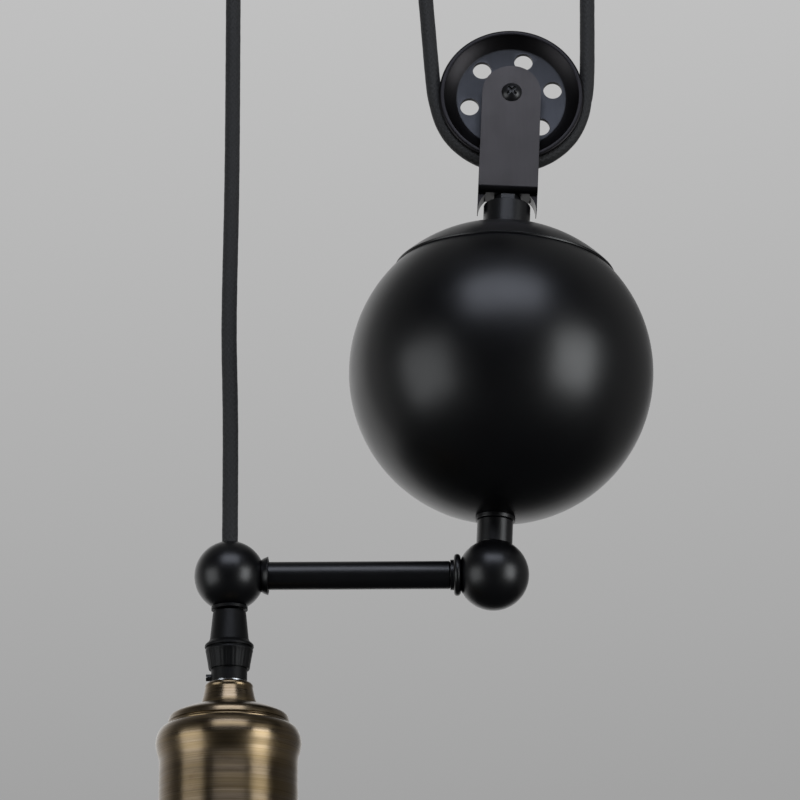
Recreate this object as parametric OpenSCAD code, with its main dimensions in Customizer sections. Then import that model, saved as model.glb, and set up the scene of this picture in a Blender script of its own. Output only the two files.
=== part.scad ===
// Rise and fall pendant. The lamp's cord runs over a fixed ceiling pulley and under a
// second pulley, which carries a ball counterweight. An arm below the ball guides the cord.
// Origin: middle of the canopy, on the ceiling. +Z up, +X right, -Y towards the front.
// Drawn with the lamp pulled up as far as it goes, as the counterweight holds it.

/* [Ceiling canopy] */
// Diameter of the canopy
canopy_d = 150; // [146:1:180]
// Depth of the canopy
canopy_h = 28; // [26:1:40]
// Sheet thickness of the canopy
canopy_wall = 1.2; // [0.8:0.1:2]
// Radius of the canopy's lower edge
canopy_edge = 3.5; // [2:0.5:8.5]
// Least flat left between the canopy's edge and a washer or nut on its floor
floor_clear = 0.5; // [0.2:0.1:1]
// Distance of the ceiling pulley's stem to the left of the canopy's middle
pulley_offset = 56.2; // [50:0.1:57]
// Distance of the cord's anchor to the right of the canopy's middle
anchor_offset = 56.5; // [52:0.1:57]
// Clearance round a stem or a shank in its sheet
sheet_clear = 0.15; // [0.1:0.05:0.3]

/* [Ceiling bar] */
// Width of the fixing bar
bar_w = 20; // [16:0.5:24]
// Thickness of the fixing bar
bar_t = 2; // [1.5:0.1:3]
// Height of the bar's turned-down ears
ear_h = 17; // [15:0.5:20]
// Clearance between an ear and the canopy's wall
ear_clear = 0.3; // [0.2:0.05:0.6]
// Distance between the two ceiling screws
fixing_spacing = 70; // [50:1:90]
// Diameter of the ceiling screw holes
fixing_hole_d = 5.2; // [4.2:0.1:6.5]
// Diameter of the hole for the building's cable
cable_hole_d = 10.4; // [8:0.1:12]
// Cable hole in front of the bar's middle
cable_hole_y = 17; // [14:0.5:22]
// Thread diameter of the canopy's side screws
side_screw_d = 4; // [3:0.5:5]
// Side screws below the ceiling
side_screw_z = 11; // [10:0.5:12]
// Head diameter of the side screws
side_head_d = 8; // [7:0.5:9]
// Head thickness of the side screws
side_head_h = 3; // [2:0.25:4]

/* [Terminal block] */
// Length of the terminal block
block_l = 26; // [22:0.5:28]
// Width of the terminal block
block_w = 17; // [14:0.5:19]
// Height of the terminal block
block_h = 12; // [11:0.5:13]
// Middle of the block to the right of the canopy's middle
block_x = 22; // [21:0.5:24]
// Middle of the block behind the canopy's middle
block_y = 32; // [31:0.5:33]
// Distance between the block's ways
way_pitch = 8; // [7:0.25:9]
// Bore of a way
way_d = 3; // [2.4:0.1:3.4]
// Diameter of a terminal screw
terminal_screw_d = 2.6; // [2:0.1:3]

/* [Hanging] */
// Height between the two pulleys' axles at rest
axle_gap = 299; // [280:1:360]
// Lamp cord to the lower pulley's axle, across
span = 95.5; // [94:0.1:98]
// Lean of the counterweight, in degrees
weight_lean = 3.8; // [2:0.05:5]
// Rise of the arm towards the guide ball, in degrees
arm_rise = 0.77; // [0:0.01:2]
// Gap between the guide bush and the cord grip at rest
rest_gap = 0.3; // [0.2:0.05:1]

/* [Cord] */
// Diameter of the braided cord
cord_d = 5.2; // [4.4:0.1:5.4]
// Gap between a stretch of cord and what it meets
cord_gap = 0.1; // [0.05:0.05:0.3]

/* [Pulleys] */
// Radius of the cord's centre line on a pulley
line_r = 24.9; // [24:0.1:27]
// Clearance between the cord and the groove
groove_clear = 0.3; // [0.2:0.05:0.5]
// Height of the rim above the groove's bottom
rim_h = 2.8; // [1:0.1:3.2]
// Width of a pulley over its rims
sheave_w = 7.6; // [6.6:0.2:13]
// Width of the rim's flat lip
lip_w = 1.7; // [0.8:0.1:2.2]
// Edge bevel of the rim
rim_bevel = 0.3; // [0.1:0.05:0.5]
// Thickness of the web
web_t = 1.6; // [1:0.1:5]
// Radius of the flat web
web_r = 18.8; // [18.4:0.1:19.4]
// Number of holes through the web
hole_count = 6; // [4:1:7]
// Diameter of the web's holes
hole_d = 6.4; // [5:0.1:7]
// Radius of the ring of holes
hole_ring_r = 14.6; // [13.4:0.1:15]
// Angle of the first hole, in degrees
hole_phase = 11.3; // [0:0.1:60]
// Diameter of the hub
hub_d = 14; // [12.5:0.5:16]
// Width over the hubs
hub_w = 5.8; // [4.6:0.2:6.4]

/* [Axles] */
// Diameter of an axle screw
axle_d = 5; // [4:0.25:6]
// Running clearance round an axle
running_clear = 0.05; // [0.02:0.01:0.1]
// Wall of a bush
bush_wall = 1.5; // [1:0.1:2]
// How far a bush stands out of the hub
bush_proud = 0.15; // [0.1:0.05:0.2]
// End play of a pulley between its spacers
end_play = 0.15; // [0.1:0.05:0.3]
// Diameter of a spacer washer
spacer_d = 10; // [9:0.25:12]
// Diameter of the axle screw's head
axle_head_d = 7; // [6.5:0.1:8]
// Height of the axle screw's head
axle_head_h = 1.9; // [1.6:0.1:2.6]
// Width of a cross recess's slot
recess_w = 1; // [0.7:0.05:1.3]
// Length of a cross recess's slot
recess_l = 4; // [3:0.1:4.6]
// Depth of a cross recess
recess_t = 1.1; // [0.8:0.05:1.4]
// Width across flats of the axle nut
axle_nut_af = 8; // [7.5:0.25:10]
// Height of the axle nut
axle_nut_h = 3.5; // [3:0.25:5]

/* [Yokes] */
// Width of a yoke
yoke_w = 20; // [18.5:0.1:21]
// Plate thickness of a yoke
yoke_t = 1.4; // [1:0.1:1.6]
// Outer radius of a yoke's bends
yoke_bend = 2; // [1.6:0.1:2.6]
// Axle to the outside of the yoke's base
yoke_drop = 37; // [35.8:0.1:38]
// Side clearance between a pulley and its yoke
yoke_clear = 0.45; // [0.3:0.05:0.6]
// Height of the base's turned-down lips
yoke_lip_h = 5.8; // [3:0.1:6.4]
// Length of the base's turned-down lips
yoke_lip_l = 6.4; // [5:0.1:7]

/* [Stems and nuts] */
// Diameter of the threaded stem and of the tie rod
rod_d = 5; // [4:0.25:5.5]
// Width across flats of their nuts; one inside a yoke is no wider than the yoke
rod_nut_af = 8; // [7:0.25:9]
// Height of their nuts
rod_nut_h = 3.2; // [2.8:0.1:3.4]
// Height of the nut outside each yoke's base
foot_nut_h = 3.4; // [2.8:0.1:4]
// Side clearance of a nut inside a yoke
nut_clear = 0.05; // [0.02:0.01:0.1]
// Gap between a nut in a yoke and the two bends that it rests on
nut_gap = 0.02; // [0.01:0.01:0.1]
// Thread that stands out of a nut
rod_proud = 0.8; // [0.4:0.1:1]
// Diameter of the stem's washer inside the canopy
stem_washer_d = 16; // [14:0.5:16]
// Thickness of that washer
stem_washer_t = 1.2; // [0.8:0.1:2]
// Diameter of the collars above and below a yoke
collar_d = 15.8; // [14:0.1:16.4]
// Length of the collar below the canopy
top_collar_h = 7.6; // [6:0.1:20]

/* [Counterweight] */
// Diameter of the ball's body
ball_d = 100; // [98:0.5:102]
// Lower axle to the ball's centre
ball_drop = 100.3; // [99:0.1:104]
// Wall of the ball's body
shell_wall = 1.2; // [0.8:0.1:2]
// Wall of the ball's lid
lid_wall = 0.6; // [0.4:0.1:1.2]
// Gap between the lid and the body
lid_gap = 0.1; // [0.05:0.05:0.3]
// Height of the lid's edge above the ball's centre
seam_h = 34.5; // [30:0.5:38]
// Overlap of the body inside the lid
lid_lap = 2.5; // [1.5:0.25:4]
// Radius of the flat seats on the ball
seat_r = 8.2; // [8.2:0.1:9]
// Thickness of one ballast disc
disc_h = 16; // [12:0.5:18]
// Radius of the middle ballast disc
mid_disc_r = 42; // [36:0.5:44]
// Radius of the upper and lower ballast discs
end_disc_r = 36; // [30:0.5:38]
// Diameter of the sleeves that hold the discs
sleeve_d = 12; // [10:0.5:14]
// Diameter of the ring under the ball
seat_ring_d = 12.9; // [12.2:0.1:14]
// Thickness of the ring under the ball
seat_ring_h = 1.6; // [1:0.1:2.5]
// Diameter of the collar under the ball
neck_collar_d = 11.6; // [10:0.1:12]
// Lower axle to the elbow ball's centre
elbow_drop = 169.3; // [168:0.1:174]
// Diameter of the elbow ball
elbow_d = 23; // [22:0.1:25]
// Thread of the rod and the stud held in a ball
thread_grip = 7; // [5:0.25:7.5]

/* [Guide arm] */
// Diameter of the guide ball
guide_d = 22.6; // [22:0.1:25]
// Diameter of the arm's tube
tube_d = 9; // [8:0.1:10]
// Wall of the arm's tube
tube_wall = 1.6; // [1:0.1:1.8]
// Diameter of the stud inside the arm
stud_d = 5; // [4:0.1:5.4]
// Diameter of the washer at the elbow
elbow_washer_d = 13.5; // [12:0.1:14]
// Thickness of the washer at the elbow
elbow_washer_t = 2.2; // [1.5:0.1:3]
// Diameter of the step ring at the elbow
step_ring_d = 9.8; // [9:0.1:11]
// Thickness of the step ring at the elbow
step_ring_t = 1.1; // [0.8:0.1:2]
// Diameter of the dished washer at the guide ball
dish_d = 12.4; // [11.5:0.1:13]
// Depth of the dished washer
dish_t = 2.2; // [1.8:0.1:3]
// Wall of the dished washer
dish_wall = 0.9; // [0.6:0.1:1.2]
// Radius at which a ball is seated on a washer
seat_ring_r = 4.9; // [4.4:0.1:5.2]
// Bore of the guide bush
guide_bore_d = 6.4; // [6:0.1:6.8]
// Wall of the guide bush
guide_bush_wall = 1.4; // [1:0.1:1.5]
// Diameter of the guide bush's flange
guide_flange_d = 12.2; // [11:0.1:13]
// Thickness of the guide bush's flange
guide_flange_t = 1.1; // [0.8:0.1:1.5]

/* [Cord grip] */
// Diameter of the grip's cone at its top
grip_top_d = 10.6; // [9.6:0.1:11.4]
// Diameter of the grip's cone at its foot
grip_foot_d = 12.4; // [11.8:0.1:13]
// Length of the grip's cone
grip_cone_h = 9.2; // [7:0.1:12]
// Diameter of the flare under the cone
grip_flare_d = 15.5; // [15.2:0.1:17]
// Height of the flare
grip_flare_h = 2.8; // [2:0.1:4]
// Diameter of the grip's body at its top
grip_body_d = 15; // [14.5:0.1:15.1]
// Diameter of the grip's body at its foot
grip_body_foot_d = 13; // [12.6:0.1:14]
// Height of the grip's body
grip_body_h = 7; // [6:0.1:10]
// Clearance round the cord inside the grip
grip_clear = 0.1; // [0.05:0.05:0.3]
// Number of ribs round the grip's body
rib_count = 24; // [16:1:30]
// Depth of the grooves between the ribs
rib_depth = 0.25; // [0.15:0.05:0.3]
// Diameter of the black neck ring
neck_ring_d = 11.4; // [11:0.1:12.4]
// Height of the black neck ring
neck_ring_h = 3.8; // [3:0.1:5]
// Diameter of the cord's locking screw
lock_screw_d = 2.2; // [1.8:0.1:2.4]
// Outer end of the locking screw from the lamp's axis
lock_screw_r = 7.3; // [6.6:0.1:8]
// Outer diameter of the hollow nipple
nipple_d = 9.8; // [9:0.1:10]
// Bore of the hollow nipple
nipple_bore_d = 6; // [5.4:0.1:6.4]
// Width across flats of the nipple's nut
nipple_nut_af = 14; // [12.5:0.5:16]
// Height of the nipple's nut
nipple_nut_h = 3; // [2.5:0.1:3.5]

/* [Lampholder] */
// Diameter of the brass neck
brass_neck_d = 16; // [14.5:0.1:17]
// Height of the brass neck
brass_neck_h = 6.8; // [5:0.1:9]
// Radius of the brass neck's upper edge
brass_neck_edge = 2.2; // [1:0.1:2.4]
// Outer radius of the cap at its edge
cap_r = 19.2; // [18:0.1:20]
// Rise of the domed cap
cap_h = 6; // [5:0.1:8]
// Sheet thickness of the lampholder
brass_wall = 0.8; // [0.6:0.1:1]
// Gap between the cap and the shell below it
cap_groove = 0.7; // [0.4:0.1:1]
// Greatest radius of the shell's shoulder
shoulder_r = 22.8; // [22.4:0.1:24]
// Height of the shoulder above its widest place
shoulder_up = 6.6; // [5:0.1:8]
// Height of the shoulder below its widest place
shoulder_down = 6.3; // [5:0.1:8]
// Radius of the shell's straight body
skirt_r = 21.6; // [21.3:0.1:22]
// Length of the straight body
skirt_h = 25; // [20:0.5:32]
// Radius of the shade thread
shade_thread_r = 19.7; // [19.3:0.1:20]
// Length of the shade thread
shade_thread_h = 17; // [14:0.5:24]
// Pitch of the shade thread's ridges
shade_pitch = 2.5; // [2:0.1:3]
// Depth of the shade thread
shade_thread_t = 0.3; // [0.2:0.05:0.4]
// Outer radius of the shade ring
shade_ring_r = 25; // [24:0.5:28]
// Height of the shade ring
shade_ring_h = 7; // [5:0.5:9]
// Number of grips round the shade ring
shade_grips = 24; // [18:1:30]

/* [Lamp socket] */
// Bore of the socket's screw shell
socket_bore_d = 26.6; // [26.5:0.05:26.8]
// Wall of the screw shell
screw_wall = 0.6; // [0.4:0.1:0.8]
// Length of the screw shell
screw_h = 25; // [22:0.5:27]
// Radius of the ceramic insulator
insulator_r = 18; // [17:0.1:18.2]
// Thickness of the insulator's roof
roof_t = 14; // [12:0.5:18]
// Radius of the insulator's flange
flange_r = 20.2; // [19.6:0.1:20.4]
// Thickness of the insulator's flange
flange_t = 3.2; // [2:0.1:5]
// Travel of the sprung centre contact
contact_travel = 1.8; // [1:0.1:2.2]
// Diameter of the contact's disc
contact_d = 8; // [6:0.25:10]
// Diameter of the recess round the contact, narrower than the screw shell
recess_d = 19; // [14:0.5:24]
// Thickness of the contact's disc
contact_t = 1.2; // [0.8:0.1:1.6]
// Diameter of the contact's stem
contact_stem_d = 3; // [2.4:0.1:4]
// Height of the contact above the screw shell
contact_rise = 2.2; // [1.5:0.1:3]
// Gap left above the contact at the end of its travel
contact_gap = 0.6; // [0.3:0.05:1]
// Depth of the stem's hole above the contact's recess
stem_hole_h = 6.5; // [5:0.25:7]
// Distance of a lamp terminal from the axis
post_offset = 11; // [9:0.5:12]
// Side of a lamp terminal
post_w = 5; // [4:0.25:6]
// Height of a lamp terminal
post_h = 5; // [4:0.25:6]

/* [Hidden] */
$fn = 96;
eps = 0.01;

black = [0.05, 0.05, 0.055];
steel_black = [0.2, 0.21, 0.23];
cord_black = [0.09, 0.085, 0.085];
plastic_black = [0.1, 0.1, 0.1];
brass_old = [0.48, 0.41, 0.28];
zinc = [0.62, 0.63, 0.65];
ceramic_white = [0.88, 0.86, 0.82];

// Places in the part's frame
cord_r = cord_d / 2;
canopy_r = canopy_d / 2;
canopy_floor_z = -canopy_h + canopy_wall;
fitting_reach = max(pulley_offset + stem_washer_d / 2, anchor_offset + nipple_nut_af / sqrt(3));
edge_r = max(canopy_wall + 0.5, min(canopy_edge, canopy_r - fitting_reach - floor_clear));
top_axle_z = -canopy_h - top_collar_h - foot_nut_h - yoke_drop;
lamp_x = -pulley_offset - line_r;
weight_x = lamp_x + span;
weight_axle_z = top_axle_z - axle_gap;
elbow_x = weight_x - elbow_drop * sin(weight_lean);
elbow_z = weight_axle_z - elbow_drop * cos(weight_lean);
arm_l = (elbow_x - lamp_x) / cos(arm_rise);
guide_z = elbow_z + arm_l * sin(arm_rise);

// Pulley, axle and yoke
groove_r = cord_r + groove_clear;
groove_bottom_r = line_r - groove_r;
rim_r = groove_bottom_r + rim_h;
axle_r = axle_d / 2;
bush_bore_r = axle_r + running_clear;
bush_r = bush_bore_r + bush_wall;
bush_l = hub_w + 2 * bush_proud;
yoke_inner = sheave_w + 2 * yoke_clear;
yoke_depth = yoke_inner + 2 * yoke_t;
spacer_t = (yoke_inner - bush_l) / 2 - end_play;

// Straight cord stretches touch both pulleys: their leans follow from the two centres
pulley_shift = weight_x + pulley_offset;
centre_line = norm([pulley_shift, axle_gap]);
left_lean = atan2(pulley_shift, axle_gap) - asin(2 * line_r / centre_line);
anchor_z = -canopy_h - 24;
anchor_dx = anchor_offset - weight_x;
anchor_dz = anchor_z - weight_axle_z;
right_lean = atan2(anchor_dx, anchor_dz) - asin(line_r / norm([anchor_dx, anchor_dz]));
function on_circle(x, z, a, r) = [x + r * cos(a), 0, z + r * sin(a)];
left_leg_top = on_circle(-pulley_offset, top_axle_z, left_lean, line_r);
left_leg_foot = on_circle(weight_x, weight_axle_z, 180 + left_lean, line_r);
right_leg_foot = on_circle(weight_x, weight_axle_z, -right_lean, line_r);
right_leg_top = [anchor_offset, 0, anchor_z - cord_gap];

// Ball
ball_r = ball_d / 2;
lid_inner_r = ball_r + lid_gap;
lid_r = lid_inner_r + lid_wall;
function below(r, a) = sqrt(r * r - a * a);
lid_seat = below(lid_r, seat_r);
ring_seat = below(ball_r, seat_ring_d / 2);
elbow_r = elbow_d / 2;
elbow_seat = below(elbow_r, neck_collar_d / 2);
lid_roof = lid_seat - lid_wall - 0.4;
shell_floor = ring_seat - shell_wall - 0.4;
yoke_base_z = -yoke_drop + yoke_t;
// A nut in a yoke is wider than its flat base, so it rests on the inside of the two bends
bend_in = yoke_bend - yoke_t;
yoke_nut_af = min(rod_nut_af, yoke_inner - 2 * nut_clear);
nut_over = max(0, yoke_nut_af / 2 - (yoke_inner / 2 - bend_in));
yoke_nut_z = yoke_base_z + bend_in - sqrt(max(0, bend_in * bend_in - nut_over * nut_over)) + nut_gap;

// Arm, measured from the elbow ball's centre
guide_r = guide_d / 2;
elbow_face = below(elbow_r, seat_ring_r);
step_from = elbow_face + elbow_washer_t;
tube_from = step_from + step_ring_t;
guide_face = arm_l - below(guide_r, seat_ring_r);
tube_to = guide_face - dish_t;
guide_bush_r = guide_bore_d / 2 + guide_bush_wall;
stud_from = elbow_r - thread_grip;
stud_to = arm_l - guide_bush_r - 0.4;
guide_flat = below(guide_r, guide_bush_r + 0.2);

// Lamp: heights below the grip's top
lamp_z = guide_z - guide_flat - guide_flange_t - rest_gap;
flare_foot = -grip_cone_h - grip_flare_h;
body_foot = flare_foot - grip_body_h;
ring_foot = body_foot - neck_ring_h;
neck_foot = ring_foot - brass_neck_h;
cap_foot = neck_foot - cap_h;
shoulder_z = cap_foot - cap_groove - shoulder_up;
waist_z = shoulder_z - shoulder_down;
skirt_foot = waist_z - skirt_h;
thread_foot = skirt_foot - shade_thread_h;
step_z = skirt_foot + brass_wall;
thread_core_r = shade_thread_r - shade_thread_t;
thread_inner_r = thread_core_r - brass_wall;
nipple_top = ring_foot + 6;
nipple_foot = cap_foot + 0.6;
insulator_foot = thread_foot + 0.5;
screw_foot = insulator_foot + 1;
screw_top = screw_foot + screw_h;
insulator_top = screw_top + roof_t;
recess_top = screw_top + contact_rise + contact_t + contact_travel + contact_gap;
inner_bore_r = cord_r + grip_clear;

// Places that an assembly is drawn in
module at_top() { translate([-pulley_offset, 0, top_axle_z]) rotate([180, 0, 0]) children(); }
module at_weight() { translate([weight_x, 0, weight_axle_z]) rotate([0, weight_lean, 0]) children(); }
module at_arm() { translate([elbow_x, 0, elbow_z]) rotate([0, arm_rise - 90, 0]) children(); }
module at_guide() { translate([lamp_x, 0, guide_z]) children(); }
module at_lamp() { translate([lamp_x, 0, lamp_z]) children(); }

// A straight tube between two heights
module sleeve(r_out, r_in, z_low, z_high) {
    translate([0, 0, z_low]) difference() {
        cylinder(r = r_out, h = z_high - z_low);
        translate([0, 0, -1]) cylinder(r = r_in, h = z_high - z_low + 2);
    }
}

// A hexagon nut standing on z_low
module hex_nut(flats, bore_r, z_low, h) {
    translate([0, 0, z_low]) difference() {
        cylinder(r = flats / 2 / cos(30), h = h, $fn = 6);
        translate([0, 0, -1]) cylinder(r = bore_r, h = h + 2);
    }
}

// A domed screw head with a cross recess, its face towards +Z
module cross_head(d, h) {
    dome_r = (d * d / 4 + h * h) / (2 * h);
    difference() {
        intersection() {
            cylinder(r = d / 2, h = h);
            translate([0, 0, h - dome_r]) sphere(r = dome_r);
        }
        for (a = [45, 135]) rotate([0, 0, a])
            translate([-recess_l / 2, -recess_w / 2, h - recess_t])
                cube([recess_l, recess_w, recess_t + 1]);
    }
}

// One grooved pulley on its own axle, the axle along Y
module sheave() {
    half_w = sheave_w / 2;
    lip_r = rim_r - lip_w;
    profile = [
        [bush_r, -hub_w / 2], [hub_d / 2, -hub_w / 2], [hub_d / 2, -web_t / 2],
        [web_r, -web_t / 2], [lip_r, -half_w], [rim_r - rim_bevel, -half_w],
        [rim_r, -half_w + rim_bevel], [rim_r, half_w - rim_bevel],
        [rim_r - rim_bevel, half_w], [lip_r, half_w], [web_r, web_t / 2],
        [hub_d / 2, web_t / 2], [hub_d / 2, hub_w / 2], [bush_r, hub_w / 2],
    ];
    rotate([90, 0, 0]) difference() {
        rotate_extrude() polygon(profile);
        rotate_extrude() translate([line_r, 0]) circle(r = groove_r);
        for (i = [0:hole_count - 1]) rotate([0, 0, hole_phase + i * 360 / hole_count])
            translate([hole_ring_r, 0, -web_t]) cylinder(d = hole_d, h = 2 * web_t);
    }
}

module sheave_bush() { rotate([90, 0, 0]) sleeve(bush_r, bush_bore_r, -bush_l / 2, bush_l / 2); }

module axle_screw() {
    rotate([90, 0, 0]) {
        translate([0, 0, -yoke_depth / 2 - axle_nut_h - rod_proud])
            cylinder(r = axle_r, h = yoke_depth + axle_nut_h + rod_proud);
        translate([0, 0, yoke_depth / 2]) cross_head(axle_head_d, axle_head_h);
    }
}

module axle_nut() {
    rotate([90, 0, 0]) hex_nut(axle_nut_af, axle_r, -yoke_depth / 2 - axle_nut_h, axle_nut_h);
}

module spacers() {
    for (side = [-1, 1]) rotate([90, 0, 0]) translate([0, 0, side * (yoke_inner - spacer_t) / 2])
        sleeve(spacer_d / 2, bush_bore_r, -spacer_t / 2, spacer_t / 2);
}

// Outline of a bent strip: a slot shape with round lower corners
module u_outline(half_depth, drop, bend_r) {
    translate([-half_depth, -drop + bend_r]) square([2 * half_depth, drop + yoke_w]);
    translate([-half_depth + bend_r, -drop]) square([2 * (half_depth - bend_r), bend_r + 1]);
    for (side = [-1, 1]) translate([side * (half_depth - bend_r), -drop + bend_r]) circle(r = bend_r);
}

// A yoke hanging from its axle: two arms with round ends and a base with two lips
module yoke() {
    difference() {
        union() {
            intersection() {
                rotate([90, 0, 90]) translate([0, 0, -yoke_w / 2])
                    linear_extrude(yoke_w) difference() {
                        u_outline(yoke_depth / 2, yoke_drop, yoke_bend);
                        u_outline(yoke_inner / 2, yoke_drop - yoke_t, yoke_bend - yoke_t);
                    }
                rotate([90, 0, 0]) translate([0, 0, -yoke_depth])
                    linear_extrude(2 * yoke_depth) union() {
                        circle(d = yoke_w);
                        translate([-yoke_w / 2, -yoke_drop - 1]) square([yoke_w, yoke_drop + 1]);
                    }
            }
            for (side = [0, 1]) mirror([side, 0, 0]) yoke_lip();
        }
        rotate([90, 0, 0]) translate([0, 0, -yoke_depth])
            cylinder(r = axle_r + sheet_clear, h = 2 * yoke_depth);
        translate([0, 0, -yoke_drop - 1]) cylinder(r = rod_d / 2 + sheet_clear, h = yoke_t + 2);
    }
}

// One lip: a wall that thins to a point in a round fillet, clear of the collar
module yoke_lip() {
    root_w = yoke_w / 2 - collar_d / 4;
    fillet_r = yoke_lip_h * 1.3;
    difference() {
        translate([collar_d / 4, -yoke_lip_l / 2, -yoke_drop - yoke_lip_h])
            cube([root_w, yoke_lip_l, yoke_lip_h + yoke_t / 2]);
        translate([yoke_w / 2 - 0.25 - fillet_r, yoke_lip_l, -yoke_drop - yoke_lip_h])
            rotate([90, 0, 0]) cylinder(r = fillet_r, h = 2 * yoke_lip_l);
        translate([0, 0, -yoke_drop - yoke_lip_h - 1])
            cylinder(r = collar_d / 2 + sheet_clear, h = yoke_lip_h + 1);
    }
}

// Two nuts that clamp a yoke's base, and the part of the stem or rod that passes the inner one
module yoke_nuts() {
    hex_nut(yoke_nut_af, rod_d / 2, yoke_nut_z, rod_nut_h);
    hex_nut(rod_nut_af, rod_d / 2, -yoke_drop - foot_nut_h, foot_nut_h);
}
rod_top = yoke_nut_z + rod_nut_h + rod_proud;

module canopy_blank(r, h, edge) {
    rotate_extrude() {
        translate([0, -h]) square([r - edge, h]);
        translate([0, -h + edge]) square([r, h - edge]);
        translate([r - edge, -h + edge]) intersection() {
            circle(r = edge);
            translate([-1, -edge - 1]) square([edge + 2, edge + 2]);
        }
    }
}

module canopy() {
    color(black) difference() {
        canopy_blank(canopy_r, canopy_h, edge_r);
        translate([0, 0, canopy_wall])
            canopy_blank(canopy_r - canopy_wall, canopy_h, edge_r - canopy_wall);
        translate([-pulley_offset, 0, -canopy_h - 1])
            cylinder(r = rod_d / 2 + sheet_clear, h = canopy_wall + 2);
        translate([anchor_offset, 0, -canopy_h - 1])
            cylinder(r = nipple_d / 2 + sheet_clear, h = canopy_wall + 2);
        for (side = [-1, 1]) translate([0, side * canopy_r, -side_screw_z]) rotate([90, 0, 0])
            translate([0, 0, -5]) cylinder(r = side_screw_d / 2 + sheet_clear, h = 10);
    }
}

ear_out = below(canopy_r - canopy_wall - ear_clear, bar_w / 2);
module ceiling_bar() {
    color(zinc) difference() {
        union() {
            translate([-bar_w / 2, -ear_out, -bar_t]) cube([bar_w, 2 * ear_out, bar_t]);
            for (side = [0, 1]) mirror([0, side, 0])
                translate([-bar_w / 2, ear_out - bar_t, -ear_h]) cube([bar_w, bar_t, ear_h]);
        }
        for (side = [-1, 1]) translate([0, side * fixing_spacing / 2, -bar_t - 1])
            cylinder(d = fixing_hole_d, h = bar_t + 2);
        translate([0, -cable_hole_y, -bar_t - 1]) cylinder(d = cable_hole_d, h = bar_t + 2);
        for (side = [-1, 1]) translate([0, side * ear_out, -side_screw_z]) rotate([90, 0, 0])
            translate([0, 0, -5]) cylinder(d = side_screw_d, h = 10);
    }
}

module canopy_screws() {
    color(black) for (side = [0, 1]) mirror([0, side, 0])
        translate([0, -canopy_r, -side_screw_z]) rotate([90, 0, 0]) {
            translate([0, 0, -canopy_r + ear_out - 5])
                cylinder(d = side_screw_d, h = canopy_r - ear_out + 5);
            difference() {
                cylinder(d = side_head_d, h = side_head_h);
                translate([-side_head_d, -recess_w / 2, side_head_h - recess_t])
                    cube([2 * side_head_d, recess_w, recess_t + 1]);
            }
        }
}

// The block stands on the canopy's floor; its ways run left to right
way_z = canopy_floor_z + block_h / 2 - 1;
module at_way(i) {
    translate([block_x, block_y + (i - 1) * way_pitch, way_z]) children();
}
module terminal_block() {
    color(ceramic_white) difference() {
        translate([block_x - block_w / 2, block_y - block_l / 2, canopy_floor_z])
            cube([block_w, block_l, block_h]);
        for (i = [0:2]) at_way(i) {
            rotate([0, 90, 0]) translate([0, 0, -block_w]) cylinder(d = way_d, h = 2 * block_w);
            for (side = [-1, 1]) translate([side * block_w / 4, 0, 0])
                cylinder(d = terminal_screw_d, h = block_h);
        }
    }
}
module terminal_screws() {
    color(zinc) for (i = [0:2]) at_way(i) for (side = [-1, 1])
        translate([side * block_w / 4, 0, way_d / 2 - 0.4]) difference() {
            cylinder(d = terminal_screw_d, h = 4);
            translate([-2, -0.25, 3.4]) cube([4, 0.5, 2]);
        }
}

// Ceiling pulley's hanging
module top_stem() {
    color(zinc) translate([-pulley_offset, 0, 0]) {
        z_low = top_axle_z - rod_top;
        z_high = canopy_floor_z + stem_washer_t + rod_nut_h + rod_proud;
        translate([0, 0, z_low]) cylinder(d = rod_d, h = z_high - z_low);
    }
}
// Nuts on the stem, on the anchor's shank and on the upper axle
module ceiling_nuts() {
    color(black) {
        translate([-pulley_offset, 0, 0])
            hex_nut(rod_nut_af, rod_d / 2, canopy_floor_z + stem_washer_t, rod_nut_h);
        translate([anchor_offset, 0, 0])
            hex_nut(nipple_nut_af, nipple_d / 2, canopy_floor_z, nipple_nut_h);
        at_top() yoke_nuts();
        translate([-pulley_offset, 0, top_axle_z]) axle_nut();
    }
}
module stem_washer() {
    color(zinc) translate([-pulley_offset, 0, canopy_floor_z])
        sleeve(stem_washer_d / 2, rod_d / 2 + sheet_clear, 0, stem_washer_t);
}
module top_collar() {
    color(black) translate([-pulley_offset, 0, 0])
        sleeve(collar_d / 2, rod_d / 2 + sheet_clear, -canopy_h - top_collar_h, -canopy_h);
}
module top_yoke() { color(steel_black) at_top() yoke(); }
module top_axle() { color(black) translate([-pulley_offset, 0, top_axle_z]) axle_screw(); }
module top_spacers() { color(zinc) translate([-pulley_offset, 0, top_axle_z]) spacers(); }
module top_pulley() { color(steel_black) translate([-pulley_offset, 0, top_axle_z]) sheave(); }
module top_bush() { color(brass_old) translate([-pulley_offset, 0, top_axle_z]) sheave_bush(); }

// Cord anchor: a grip like the lamp's, its shank up through the canopy
module at_anchor() { translate([anchor_offset, 0, anchor_z]) rotate([180, 0, 0]) children(); }
anchor_body_h = -canopy_h - anchor_z - grip_cone_h - grip_flare_h;
module anchor_cap() {
    color(plastic_black) at_anchor() grip_cone();
}
module anchor_body() {
    foot = flare_foot - anchor_body_h;
    shank_h = canopy_wall + nipple_nut_h + 3.5;
    color(plastic_black) at_anchor() difference() {
        union() {
            translate([0, 0, foot]) cylinder(d = grip_body_d, h = anchor_body_h);
            translate([0, 0, foot - shank_h]) cylinder(d = nipple_d, h = shank_h + 1);
        }
        translate([0, 0, foot - 20]) cylinder(r = inner_bore_r, h = 40);
    }
}

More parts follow.
